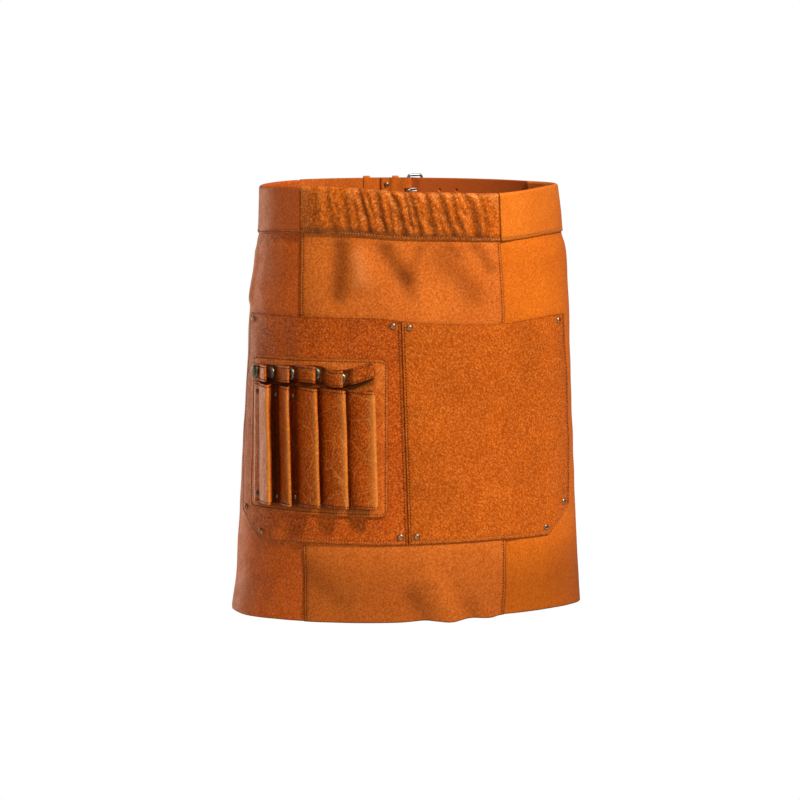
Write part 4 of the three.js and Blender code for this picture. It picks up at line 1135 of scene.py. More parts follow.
@dataclass(frozen=True)
class ThreadFinish:
    """Waxed polyester thread, twisted: dark brown with a soft shine and fine slanted plies; its lighter
    copy is a painted highlight.
    """

    name: str
    light: str
    dark: str
    ply_mm: float = 0.6

    def material(self) -> bpy.types.Material:
        """Builds the finish.

        Returns:
            The material.
        """
        made = new_material(self.name)
        place = add_node(made, "ShaderNodeTexCoord", output="Object")
        plies = add_node(
            made,
            "ShaderNodeTexWave",
            {"Vector": place, "Scale": per_metre(self.ply_mm) / 6.3, "Distortion": 1.0},
            output="Fac",
            bands_direction="DIAGONAL",
        )
        colour = add_node(
            made,
            "ShaderNodeMix",
            {"Factor": plies, "A": linear(self.dark), "B": linear(self.light)},
            data_type="RGBA",
        )
        shader = add_node(
            made,
            "ShaderNodeBsdfPrincipled",
            {"Base Color": colour, "Roughness": 0.7, "IOR": 1.5, "Specular IOR Level": 0.15},
        )
        add_node(made, "ShaderNodeOutputMaterial", {"Surface": shader})
        return made


@dataclass(frozen=True)
class PaperFinish:
    """Matt white paper sweep: even and without shine."""

    name: str
    face: str

    def material(self) -> bpy.types.Material:
        """Builds the finish.

        Returns:
            The material.
        """
        made = new_material(self.name)
        place = add_node(made, "ShaderNodeTexCoord", output="Object")
        fibre = add_node(
            made, "ShaderNodeTexNoise", {"Vector": place, "Scale": per_metre(2.0), "Detail": 2.0}
        )
        bump = add_node(made, "ShaderNodeBump", {"Height": fibre, "Strength": 0.05, "Distance": 0.02 * MM})
        shader = add_node(
            made,
            "ShaderNodeBsdfPrincipled",
            {"Base Color": linear(self.face), "Roughness": 0.9, "Normal": bump},
        )
        add_node(made, "ShaderNodeOutputMaterial", {"Surface": shader})
        return made


class Finishes:
    """All finishes of the apron, each made once."""

    def __init__(self) -> None:
        """Makes the materials."""
        self.front = LeatherFinish(
            "front_tan_cowhide", "d87024", "98380c", "f0a060", grain_mm=1.9, grain_light=0.2, blotch=0.35,
            seed=1.0
        ).material()
        # The left panel is drawn darker and redder than the right: the russet and amber hues are the
        # leathers' own, the brightness difference is painted shade on the left and painted light on the
        # right
        self.side_left = LeatherFinish(
            "left_russet_cowhide", "d2601a", "8c340a", "e0905a", grain_mm=2.0, blotch=0.5, roughness=0.46,
            seed=2.0
        ).material()
        self.side_right = LeatherFinish(
            "right_amber_cowhide", "dc7016", "ac480a", "f0a04c", grain_mm=1.9, grain_light=0.18, blotch=0.4,
            seed=3.0
        ).material()
        self.band = LeatherFinish(
            "band_tan_cowhide", "d8660c", "782802", "f8b05c", grain_mm=2.1, grain_depth=0.42,
            grain_dark=0.6,
            grain_light=0.36, roughness=0.34, gloss=0.7, glaze="ffc078", flesh="b05418", seed=4.0,
        ).material()
        # The left band is drawn darker than the right: the hues are the leathers' own, the brightness
        # difference is painted shade on the left and painted light on the right
        self.band_left = LeatherFinish(
            "band_left_russet_cowhide", "cc5a16", "84320a", "e09858", grain_mm=1.9, grain_depth=0.25,
            grain_dark=0.35, roughness=0.44, flesh="b05418", seed=8.0,
        ).material()
        self.band_right = LeatherFinish(
            "band_right_amber_cowhide", "e0761e", "b45412", "f4aa58", grain_mm=1.9, grain_depth=0.24,
            grain_dark=0.35, grain_light=0.2, blotch=0.6, flesh="b05418", seed=9.0,
        ).material()
        # The left pocket is drawn a little darker than the right: painted shade
        self.pocket_left = LeatherFinish(
            "pocket_left_pebbled_cowhide", "ca5812", "742606", "ea9a4c", grain_mm=2.0, grain_depth=0.55,
            grain_dark=0.66, grain_light=0.3, roughness=0.42, stretch=1.35, seed=5.0,
        ).material()
        self.pocket_right = LeatherFinish(
            "pocket_right_pebbled_cowhide", "cc6012", "823204", "f0a252", grain_mm=2.0, grain_depth=0.5,
            grain_dark=0.6, grain_light=0.28, blotch=0.45, roughness=0.42, slant=-0.6, stretch=1.35,
            seed=5.5,
        ).material()
        self.plate = LeatherFinish(
            "plate_waxed_cowhide", "da6e24", "8c380a", "eaa25c", grain_dark=0.45, roughness=0.38, seed=6.5
        ).material()
        self.holder = LeatherFinish(
            "holder_waxed_cowhide", "c65610", "702404", "f4a048", grain_mm=1.9, grain_depth=0.36,
            grain_dark=0.65, grain_light=0.36, roughness=0.36, gloss=0.5, crease=0.6, crease_worn=True,
            seed=6.0,
        ).material()
        self.strap = LeatherFinish(
            "strap_brown_bridle", "d2681e", "8e3a0c", "e89a4c", grain_mm=1.8, grain_depth=0.16,
            grain_dark=0.25, flesh="b85824", seed=7.0,
        ).material()
        self.rivet = MetalFinish("rivet_antique_nickel", "b8906c", "54382a", 0.4, 0.7).material()
        # Darker nickel of the press studs, also used as painted shade on the tubes' small rivets
        self.stud = MetalFinish("stud_antique_nickel", "857d68", "2e2820", 0.4, 0.7).material()
        self.buckle = MetalFinish("buckle_satin_nickel", "b4b2a8", "5e5c56", 0.3, 0.5).material()
        self.thread = ThreadFinish("brown_waxed_thread", "4c200c", "220e06").material()
        # The same brown thread drawn lighter, as a painted highlight on the rows that face the light
        self.light_thread = ThreadFinish("tan_waxed_thread", "d8904c", "9c561e").material()


def dress(
    piece: bpy.types.Object, material: bpy.types.Material, slot: str, *nodes: str
) -> bpy.types.Object:
    """Gives a piece its material and body, and hides the model's nodes that it stands for.

    Args:
        piece: the piece.
        material: its finish.
        slot: the record's material slot; not used.
        nodes: the model's nodes that the piece replaces.

    Returns:
        The piece.
    """
    piece.data.materials.append(material)
    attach(piece, "root")
    if nodes:
        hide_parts(*nodes)
    LOG.info("%s: %d faces", piece.name, len(piece.data.polygons))
    return piece


# Sub-assemblies


@dataclass
class Skirt:
    """Three panels: the front one is lapped over the two that run round to the open back."""

    form: Form
    finishes: Finishes
    stitches: Stitching
    # Strength of the painted shade towards the hem, on the left, front and right panels
    hem_shades: tuple[float, float, float] = (0.05, 0.38, 0.5)

    def panel(
        self, name: str, left: Line, right: Line, depth: float, hem: float, stitched: str = ""
    ) -> Sheet:
        """Describes one panel between two of its edges."""
        form = self.form
        return Sheet(
            name,
            form,
            left,
            right,
            form.hem,
            lambda u: form.band_bottom(u) + form.band_grip,
            lambda u, z: np.full(np.broadcast(u, z).shape, depth),
            form.leather,
            stitched=stitched,
            # Painted shade: darker towards the hem, as strongly as the panel's hem shade
            shade=lambda u, z: -hem * smooth((form.hem_level + 110.0 - z) / 70.0),
        )

    def back_edge(self, side: Side) -> Line:
        """Back edge of a side panel."""
        form = self.form
        foot = float(form.band_bottom(np.zeros(1))[0])
        return lambda z: side.value * (form.band_reach + form.back_flare * np.maximum(foot - z, 0.0))

    def build(self) -> None:
        """Builds and dresses the three panels, with their seam stitches."""
        form = self.form
        front = self.panel(
            "front_panel_leather",
            lambda z: form.seam(Side.LEFT, z),
            lambda z: form.seam(Side.RIGHT, z),
            form.leather + form.gap,
            self.hem_shades[1],
            "left right",
        )
        piece = dress(front.build(), self.finishes.front, "front", "front_panel")
        front.sew(self.stitches, "left right")
        for side in Side:
            inner_edge = lambda z, side=side: form.seam(side, z) - side.value * form.seam_lap
            edges = (self.back_edge(side), inner_edge)
            left, right = edges if side is Side.LEFT else edges[::-1]
            hem = self.hem_shades[side.value + 1]
            panel = self.panel(f"side_panel_{side.word}_leather", left, right, 0.0, hem)
            finish = self.finishes.side_left if side is Side.LEFT else self.finishes.side_right
            piece = dress(panel.build(), finish, f"side_{side.word}", f"side_panel_{side.word}")


class Wrinkle(NamedTuple):
    """Valley of the gathered casing. across: share of the panel's half; low, high: its ends."""

    across: float
    depth: float
    lean: float
    spread: float
    low: float = 0.05
    high: float = 1.1


WRINKLES = tuple(
    Wrinkle(*row)
    for row in (
        (-0.90, 0.22, 0.05, 0.050, 0.30), (-0.84, 0.30, 0.10, 0.040), (-0.69, 0.45, 0.16, 0.045),
        (-0.61, 0.25, 0.10, 0.025, 0.35), (-0.52, 0.50, 0.20, 0.040),
        (-0.43, 0.35, 0.12, 0.025, 0.05, 0.70), (-0.34, 0.85, 0.24, 0.036),
        (-0.26, 0.40, 0.30, 0.022, 0.40), (-0.18, 0.90, 0.26, 0.034),
        (-0.09, 0.45, 0.20, 0.022, 0.05, 0.75), (-0.01, 0.95, 0.30, 0.034),
        (0.08, 0.75, 0.22, 0.028, 0.20), (0.15, 0.95, 0.28, 0.032),
        (0.22, 0.35, 0.34, 0.020, 0.45), (0.29, 0.95, 0.22, 0.034),
        (0.37, 0.40, 0.30, 0.020, 0.05, 0.65), (0.44, 0.95, 0.34, 0.034),
        (0.55, 0.85, 0.30, 0.030, 0.15), (0.62, 0.40, 0.36, 0.022, 0.50),
        (0.70, 0.95, 0.34, 0.034), (0.82, 0.75, 0.24, 0.032), (0.90, 0.50, 0.30, 0.026, 0.30),
    )
)


@dataclass
class Waistband:
    """Folded casing: gathered between the two seams, smooth round to the back."""

    form: Form
    finishes: Finishes
    stitches: Stitching
    stitch_rise: float = 2.8
    groove: float = 0.45
    step: float = 1.2
    leaf_rows: int = 34
    arc_rows: int = 10
    inner_rows: int = 8
    edge_round: float = 0.6
    puff_height: float = 4.2
    wander: Ripple = Ripple(seed=5, shortest=13.0, longest=60.0)
    crumple: Ripple = Ripple(seed=6, shortest=7.0, longest=20.0, waves=24)

    def puff(self, u: Array, share: Array) -> tuple[Array, Array]:
        """Swell of the gathered front at a height share from 0 to 1, and how deep in a valley."""
        form = self.form
        reach = np.where(
            u < 0, -form.seam(Side.LEFT, np.zeros_like(u)), form.seam(Side.RIGHT, np.zeros_like(u))
        )
        fade = smooth((reach - np.abs(u)) / (0.2 * form.panel_half))
        valley = np.zeros(np.broadcast(u, share).shape)
        level = share * form.band_height
        strays = u + 1.9 * self.wander.at(u, level)
        for wrinkle in WRINKLES:
            middle = wrinkle.across * form.panel_half + wrinkle.lean * (0.5 - share) * form.band_height
            ends = smooth((share - wrinkle.low + 0.2) / 0.3) * smooth((wrinkle.high + 0.2 - share) / 0.3)
            valley = valley + wrinkle.depth * ends * bell(strays - middle, wrinkle.spread * form.panel_half)
        height_fade = smooth(share / 0.22) * mix(1.0, 0.6, smooth((share - 0.7) / 0.3))
        raised = np.clip(1.0 - valley, 0.0, 1.0) + 0.1 * self.crumple.at(u, level)
        return self.puff_height * fade * height_fade * raised, fade * (1.0 - raised)

    def outer(self, u: Array, z: Array, share: Array, gathered: bool) -> Array:
        """Distance out of the outer leaf's face."""
        form = self.form
        depth = form.skirt_face(u, z) + form.gap + form.leather
        if gathered:
            depth = depth + self.puff(u, share)[0]
        return depth - self.groove * bell((share * form.band_height - self.stitch_rise), 1.0)

    def face(self, u: Any, z: Any, lift: float = 0.0) -> Array:
        """Points on the lower part of the outer leaf."""
        u, z = np.asarray(u, float), np.asarray(z, float)
        share = (z - self.form.band_bottom(u)) / self.form.band_height
        inside = np.abs(u) < self.form.panel_half
        depth = np.where(inside, self.outer(u, z, share, True), self.outer(u, z, share, False))
        return self.form.place(u, z, depth + lift)

    def leaf(self, name: str, left: Line, right: Line, gathered: bool) -> bpy.types.Object:
        """Builds one stretch of the casing.

        Args:
            name: the piece's name.
            left: its left edge.
            right: its right edge.
            gathered: whether it is gathered.

        Returns:
            The new object.
        """
        form = self.form
        inner_d = -form.band_slack - form.leather
        width = float(right(np.zeros(1))[0] - left(np.zeros(1))[0])
        spread = Spread.even(width, self.step if gathered else 3.0, (0.0, self.edge_round, 1.4))
        foot = (0.0, self.edge_round, 1.2, 1.9, 2.4, 2.8, 3.2, 3.7, 4.4)
        shares = np.concatenate((np.array(foot) / form.band_height, np.linspace(0.11, 1.0, self.leaf_rows)))
        rows = len(shares) + self.arc_rows + self.inner_rows
        columns = len(spread.shares)
        u = np.tile(mix(left(np.zeros(1)), right(np.zeros(1)), spread.shares)[:, None], (1, rows))
        z = np.zeros((columns, rows))
        grids = []
        tone = np.zeros((columns, rows))
        for face in (0, 1):
            inset = face * form.leather
            for _ in range(5):
                u = mix(left(z), right(z), spread.shares[:, None]) + spread.offsets[:, None]
                top = u[:, len(shares) : len(shares) + 1]
                crest = form.band_bottom(top) + form.band_height
                over = self.outer(top, crest, np.ones_like(top), gathered)
                radius = (over - inner_d) / 2.0
                straight = form.band_height - radius
                rise = np.empty_like(z)
                rise[:, : len(shares)] = shares[None, :] * straight
                turn = np.arange(1, self.arc_rows + 1) / (self.arc_rows + 1) * math.pi
                rise[
                    :, len(shares) : len(shares) + self.arc_rows
                ] = straight + (radius - inset) * np.sin(turn)[None, :]
                down = 1.0 - np.arange(self.inner_rows) / (self.inner_rows - 1)
                rise[:, len(shares) + self.arc_rows :] = straight * down[None, :]
                z = form.band_bottom(u) + rise
            share = rise / form.band_height
            depth = self.outer(u, z, share, gathered) - inset
            arc = slice(len(shares), len(shares) + self.arc_rows)
            depth[:, arc] = inner_d + radius + (radius - inset) * np.cos(turn)[None, :]
            depth[:, len(shares) + self.arc_rows :] = inner_d + inset
            rim = np.zeros(z.shape)
            rim[[0, -1], :] = 1.0
            rim[:, [0, -1]] = 1.0
            sign = np.where(
                np.arange(rows)[None, :] >= len(shares) + self.arc_rows, 1.0, -1.0
            ) * (1.0 - 2.0 * face)
            grids.append(form.place(u, z, depth + sign * self.edge_round * rim).reshape(-1, 3))
            if face == 0:
                if gathered:
                    # Painted highlight towards the top of the gathers, painted shade in the wrinkles'
                    # valleys, and a painted shadow band just above the foot
                    hollow = self.puff(u, share)[1]
                    tone = 0.14 * smooth((share - 0.5) / 0.4) - 0.76 * hollow * smooth(share / 0.15)
                    tone = tone - 0.45 * bell(share - 0.10, 0.045)
                tone = tone - 0.75 * bell(np.minimum(u - left(z), right(z) - u), 0.9)
                tone = tone - 0.55 * bell(rise - 1.0, 0.9) - 0.6 * bell(rise - self.stitch_rise, 0.9)
                tone[:, len(shares) + self.arc_rows :] = 0.0
        return make_object(name, np.concatenate(grids), wall_faces(columns, rows), tone, (0.0, 1.0))

    def build(self) -> None:
        """Builds and dresses the three stretches, with the stitches along their foot."""
        form = self.form
        half_gap = form.gap / 2.0
        seam_left = lambda z: form.seam(Side.LEFT, z)
        seam_right = lambda z: form.seam(Side.RIGHT, z)
        reach = lambda sign: (lambda z: np.full(np.shape(z), sign * form.band_reach))
        stretches = (
            (
                "front", lambda z: seam_left(z) + half_gap, lambda z: seam_right(z) - half_gap,
                (290.0, 112.0)
            ),
            ("left", reach(-1.0), lambda z: seam_left(z) - half_gap, (176.0, 112.0)),
            ("right", lambda z: seam_right(z) + half_gap, reach(1.0), (178.0, 112.0)),
        )
        for word, left, right, flat in stretches:
            gathered = word == "front"
            piece = self.leaf(f"waistband_{word}_leather", left, right, gathered)
            finish = {
                "front": self.finishes.band,
                "left": self.finishes.band_left,
                "right": self.finishes.band_right,
            }[word]
            dress(piece, finish, "band", f"waistband_{word}")
            Hold.GATHERED if gathered else Hold.FOLDED
        u = np.arange(-form.band_reach + 3.0, form.band_reach - 2.0, 1.0)
        self.stitches.lay(self.face, u, form.band_bottom(u) + self.stitch_rise)


@dataclass
class Pockets:
    """Two wide patch pockets, butted at the middle seam, their outer lower corners cut off."""

    form: Form
    finishes: Finishes
    stitches: Stitching
    foot_stitches: Stitching
    gape: float = 0.9

    def sheet(self, side: Side) -> Sheet:
        """Describes one pocket."""
        form = self.form
        outer = lambda z: form.pocket_edge(side, z)
        inner = lambda z: form.pocket_seam(z) + side.value * form.gap / 2.0
        left, right = (outer, inner) if side is Side.LEFT else (inner, outer)
        return Sheet(
            f"pocket_{side.word}_leather",
            form,
            left,
            right,
            lambda u: form.pocket_bottom(side, u),
            form.pocket_top,
            form.pocket_inner,
            form.leather,
            stitched="left right low",
            lifted=lambda u, z: self.gape
            * smooth((z - form.pocket_top(u) + 26.0) / 26.0)
            * np.sin(np.clip((np.abs(u) - 14.0) / (form.pocket_reach * 0.96 - 36.0), 0.0, 1.0) * math.pi),
        )

    def build(self) -> None:
        """Builds and dresses both pockets, with their stitches."""
        for side in Side:
            pocket = self.sheet(side)
            finish = self.finishes.pocket_left if side is Side.LEFT else self.finishes.pocket_right
            piece = dress(pocket.build(), finish, "pocket", f"pocket_{side.word}")
            pocket.sew(self.stitches, "left right")
            pocket.sew(self.foot_stitches, "low")


def rounded_path(corners: Sequence[tuple[float, float, float]], steps: int = 6) -> Array:
    """Rounds the corners of a path off into arcs.

    Args:
        corners: place along, height and corner radius of each.
        steps: stretches of an arc.

    Returns:
        The points of the path.
    """
    path = []
    for k, (x, y, radius) in enumerate(corners):
        here = np.array((x, y))
        if not radius:
            path.append(here)
            continue
        back = np.array(corners[k - 1][:2]) - here
        ahead = np.array(corners[k + 1][:2]) - here
        reach_back, reach_ahead = np.linalg.norm(back), np.linalg.norm(ahead)
        half = math.acos(float(np.clip(back @ ahead / reach_back / reach_ahead, -1.0, 1.0))) / 2.0
        cut = min(radius / math.tan(half), 0.45 * reach_back, 0.45 * reach_ahead)
        start, end = here + back / reach_back * cut, here + ahead / reach_ahead * cut
        centre = here + ((start + end) / 2.0 - here) / math.cos(half) ** 2
        spoke, last = start - centre, end - centre
        first = math.atan2(spoke[1], spoke[0])
        sweep = (math.atan2(last[1], last[0]) - first + math.pi) % (2.0 * math.pi) - math.pi
        size = float(np.linalg.norm(spoke))
        for step in range(steps + 1):
            turn = first + sweep * step / steps
            path.append(centre + size * np.array((math.cos(turn), math.sin(turn))))
    return np.array(path)


def refine(path: Array, step: float) -> Array:
    """Adds points to a path so that none of its stretches is longer than a step.

    Args:
        path: the points.
        step: longest stretch, mm.

    Returns:
        The finer path, through the same points.
    """
    points = [path[:1]]
    for start, end in zip(path[:-1], path[1:]):
        count = max(int(math.ceil(float(np.linalg.norm(end - start)) / step)), 1)
        points.append(start + (end - start) * (np.arange(1, count + 1) / count)[:, None])
    return np.concatenate(points)


def beside(path: Array, distance: Array | float) -> Array:
    """Moves a path sideways by a distance, with mitred corners."""
    runs = np.diff(path, axis=0)
    runs = runs / np.maximum(np.linalg.norm(runs, axis=1, keepdims=True), 1e-9)
    sides = np.stack((-runs[:, 1], runs[:, 0]), axis=1)
    before = np.concatenate((sides[:1], sides))
    after = np.concatenate((sides, sides[-1:]))
    side = before + after
    side /= np.linalg.norm(side, axis=1, keepdims=True)
    stretch = np.maximum(np.sum(side * before, axis=1), 0.5)
    return path + side * (np.asarray(distance) / stretch)[:, None]


@dataclass
class Ribbon:
    """Leather ribbon whose middle follows a path of places along and heights."""

    name: str
    path: Array
    thickness: float
    low: Line
    high: Line
    put: Callable[[Array, Array, Array], Array]
    step: float = 3.0
    edge_round: float = 0.45
    lean: float = 0.0
    tone: Array | None = None
    flesh: tuple[float, float] = (0.0, 1.0)

    def surface(self, run: Any, z: Any, lift: float = 0.0) -> Array:
        """Points over the ribbon's outer face, at lengths along its path."""
        lengths = np.concatenate(([0.0], np.cumsum(np.linalg.norm(np.diff(self.path, axis=0), axis=1))))
        over = beside(self.path, self.thickness / 2.0 + lift)
        z = np.asarray(z, float)
        shift = self.lean * (self.high(np.interp(run, lengths, self.path[:, 0])) - z)
        return self.put(np.interp(run, lengths, over[:, 0]) + shift, z, np.interp(run, lengths, over[:, 1]))

    def build(self) -> bpy.types.Object:
        """Builds the ribbon as a closed mesh with softened edges.

        Returns:
            The new object.
        """
        u = self.path[:, 0]
        height = float(np.mean(self.high(u) - self.low(u)))
        spread = Spread.even(height, self.step, (0.0, self.edge_round, 1.5))
        grids = []
        for sign in (1.0, -1.0):
            plain = beside(self.path, sign * self.thickness / 2.0)
            eased = beside(self.path, sign * (self.thickness / 2.0 - self.edge_round))
            x = np.repeat(plain[:, :1], len(spread.shares), axis=1)
            d = np.repeat(plain[:, 1:], len(spread.shares), axis=1)
            x[:, [0, -1]], d[:, [0, -1]] = eased[:, :1], eased[:, 1:]
            x[[0, -1], :], d[[0, -1], :] = eased[[0, -1], :1], eased[[0, -1], 1:]
            z = mix(
                self.low(u)[:, None], self.high(u)[:, None], spread.shares[None, :]
            ) + spread.offsets[None, :]
            grids.append(self.put(x + self.lean * (z[:, -1:] - z), z, d).reshape(-1, 3))
        lines = np.zeros(x.shape) if self.tone is None else np.repeat(
            self.tone[:, None], x.shape[1], axis=1
        )
        lines = lines - 0.5 * bell(np.minimum(z - z[:, :1], z[:, -1:] - z), 0.9)
        return make_object(self.name, np.concatenate(grids), wall_faces(*x.shape), lines, self.flesh)

    @property
    def length(self) -> float:
        """Length of the path, mm."""
        return float(np.linalg.norm(np.diff(self.path, axis=0), axis=1).sum())


@dataclass
class ToolHolder:
    """Backing plate with five upright tubes and a looped strap fastened by press studs."""

    form: Form
    finishes: Finishes
    stitches: Stitching
    pleat_drop: float = 32.3
    pleat_clearance: float = 9.8
    pleat_top_slope: float = -0.008
    pleat_foot_slope: float = 0.018
    pleat_lean: float = 0.028
    pleat_rise: float = 17.0
    pleat_foot: float = 10.0
    pleat_foot_before: float = 0.6
    pleat_leather: float = 1.4
    pleat_end: float = 0.905
    loop_drop: float = 21.0
    loop_height: float = 18.6
    loop_rise: float = 14.0
    loop_foot: float = 21.6
    loop_foot_before: float = 0.612
    loop_leather: float = 1.4
    loop_end: float = 0.915
    loop_end_lift: float = 0.59
    loop_last_rise: float = 0.35
    stud_diameter: float = 15.0
    face_bow: float = 0.62
    fold_radius: float = 1.3
    stitch_inset: float = 2.6
    valley_shade: tuple[float, ...] = (0.1, 1.0, 0.9, 0.85, 0.85, 0.3)
    strap_shade: float = 8.0
    foot_shade: float = 5.5

    @property
    def pleat_height(self) -> float:
        """Height of the tubes."""
        return self.form.plate_height - self.pleat_drop - self.pleat_clearance

    def pleat_top(self, u: Any) -> Array:
        """Upper ends of the tubes."""
        middle = self.form.plate_u(0.5)
        top = float(self.form.plate_top(np.array([middle]))[0])
        return top - self.pleat_drop + (np.asarray(u) - middle) * self.pleat_top_slope

    def pleat_low(self, u: Any) -> Array:
        """Lower ends of the tubes."""
        middle = self.form.plate_u(0.5)
        foot = float(self.form.plate_bottom(np.array([middle]))[0])
        return foot + self.pleat_clearance + (np.asarray(u) - middle) * self.pleat_foot_slope

    def loop_middle(self, u: Any) -> Array:
        """Middle line of the looped strap."""
        form = self.form
        rows = [
            LoopLift(loop.stud, loop.lift) for loop in LOOPS
        ] + [LoopLift(self.loop_end, self.loop_end_lift)]
        across = (np.asarray(u, float) - form.plate_u(0)) / form.plate_width
        base = form.plate_top(np.array([form.plate_u(0.5)]))[0] - self.loop_drop
        return base + follow(rows, "across", "lift", across) * self.loop_height

    def on_plate(self, thickness: float) -> Callable[[Array, Array, Array], Array]:
        """Places of a ribbon that lies on the plate."""
        form = self.form
        return lambda u, z, d: form.skirt(u, z, form.plate_face(u, z) + form.gap + thickness / 2.0 + d)

    def ridges(self, path: Array, rise: float, feet: Sequence[float]) -> Array:
        """Tone along a folded path: worn and painted highlight on the ridges, painted shade in the valleys
        but the open first one.
        """
        share = path[:, 1] / rise
        depth = np.interp(path[:, 0], feet, self.valley_shade)
        return 0.6 * smooth((share - 0.7) / 0.3) ** 1.5 - depth * smooth((0.42 - share) / 0.42)

    def shade(self, u: Array, z: Array) -> Array:
        """Shade on the plate under the strap and below the tubes."""
        form = self.form
        across = (u - form.plate_u(0)) / form.plate_width
        strap_low = self.loop_middle(u) - self.loop_height / 2.0
        under = bell(
            np.maximum(strap_low - z, 0.0), self.strap_shade
        ) * smooth((strap_low + 12.0 - z) / 4.0)
        foot = self.pleat_low(u)
        below = bell(np.maximum(foot - z, 0.0), self.foot_shade) * smooth((foot + 8.0 - z) / 4.0)
        inside = smooth((across - 0.05) / 0.06) * smooth((self.pleat_end + 0.03 - across) / 0.04)
        return -1.1 * inside * np.maximum(under, 0.8 * below)

    def plate(self) -> None:
        """Builds the backing plate."""
        form = self.form
        plate = Sheet(
            "tool_plate_leather",
            form,
            lambda z: np.full(np.shape(z), form.plate_u(0)),
            lambda z: np.full(np.shape(z), form.plate_u(1)),
            form.plate_bottom,
            form.plate_top,
            form.plate_inner,
            form.leather,
            stitched="left right low high",
            shade=self.shade,
        )
        piece = dress(plate.build(), self.finishes.plate, "holder", "tool_plate")
        plate.sew(self.stitches, "left right low high")

    def sew_ribbon(self, ribbon: Ribbon, starts: float) -> None:
        """Sews both long edges of a ribbon."""
        lengths = np.concatenate(([0.0], np.cumsum(np.linalg.norm(np.diff(ribbon.path, axis=0), axis=1))))
        run = np.arange(starts, ribbon.length - 2.0, 0.5)
        u = np.interp(run, lengths, ribbon.path[:, 0])
        self.stitches.lay(ribbon.surface, run, ribbon.low(u) + self.stitch_inset)
        self.stitches.lay(ribbon.surface, run, ribbon.high(u) - self.stitch_inset)

    def tubes(self) -> None:
        """Builds the five tubes from one folded piece."""
        form = self.form
        before = self.pleat_foot * self.pleat_foot_before
        after = self.pleat_foot - before
        corners = [(form.plate_u(PLEATS[0].foot) - before, 0.0, 0.0)]
        for k, pleat in enumerate(PLEATS):
            start, ridge = form.plate_u(pleat.foot) + after, form.plate_u(pleat.ridge)
            ends = form.plate_u(PLEATS[k + 1].foot if k + 1 < len(PLEATS) else self.pleat_end) - before
            corners += [
                (start, 0.0, self.fold_radius),
                (mix(start, ridge, 0.5), self.face_bow * self.pleat_rise, 60.0),
                (ridge, self.pleat_rise, self.fold_radius),
                (ends, 0.0, self.fold_radius),
            ]
        corners.append((form.plate_u(self.pleat_end), 0.0, 0.0))
        path = refine(rounded_path(corners), 3.0)
        tubes = Ribbon(
            "tool_tubes_leather",
            path,
            self.pleat_leather,
            self.pleat_low,
            self.pleat_top,
            self.on_plate(self.pleat_leather),
            lean=self.pleat_lean,
            tone=self.ridges(path, self.pleat_rise, [*(form.plate_u(p.foot) for p in PLEATS), path[-1, 0]]),
        )
        piece = dress(tubes.build(), self.finishes.holder, "holder", "tool_pleats")
        tubes.length
        self.sew_ribbon(tubes, 1.5)

    def strap(self) -> None:
        """Builds the looped strap above the tubes."""
        form = self.form
        before = self.loop_foot * self.loop_foot_before
        corners = [(form.plate_u(LOOPS[0].stud) - self.stud_diameter / 2.0 - form.gap, 0.0, 0.0)]
        for k, loop in enumerate(LOOPS):
            start, ridge = form.plate_u(loop.stud) + self.loop_foot - before, form.plate_u(loop.ridge)
            corners.append((start, 0.0, self.fold_radius))
            if k + 1 == len(LOOPS):
                corners.append((ridge, self.loop_last_rise * self.loop_rise, 40.0))
                corners.append((form.plate_u(self.loop_end), 0.0, 0.0))
                break
            corners += [
                (mix(start, ridge, 0.5), self.face_bow * self.loop_rise, 60.0),
                (ridge, self.loop_rise, self.fold_radius),
                (form.plate_u(LOOPS[k + 1].stud) - before, 0.0, self.fold_radius),
            ]
        path = refine(rounded_path(corners), 3.0)
        strap = Ribbon(
            "tool_strap_leather",
            path,
            self.loop_leather,
            lambda u: self.loop_middle(u) - self.loop_height / 2.0,
            lambda u: self.loop_middle(u) + self.loop_height / 2.0,
            self.on_plate(self.loop_leather),
            tone=self.ridges(path, self.loop_rise, [*(form.plate_u(p.stud) for p in LOOPS), path[-1, 0]]),
        )
        piece = dress(strap.build(), self.finishes.holder, "holder", "tool_strap")
        strap.length
        self.sew_ribbon(strap, 12.0)

    def build(self) -> None:
        """Builds the plate, the tubes and the strap."""
        self.plate()
        self.tubes()
        self.strap()


class LoopLift(NamedTuple):
    """Where the looped strap's middle line runs. across, lift: shares."""

    across: float
    lift: float


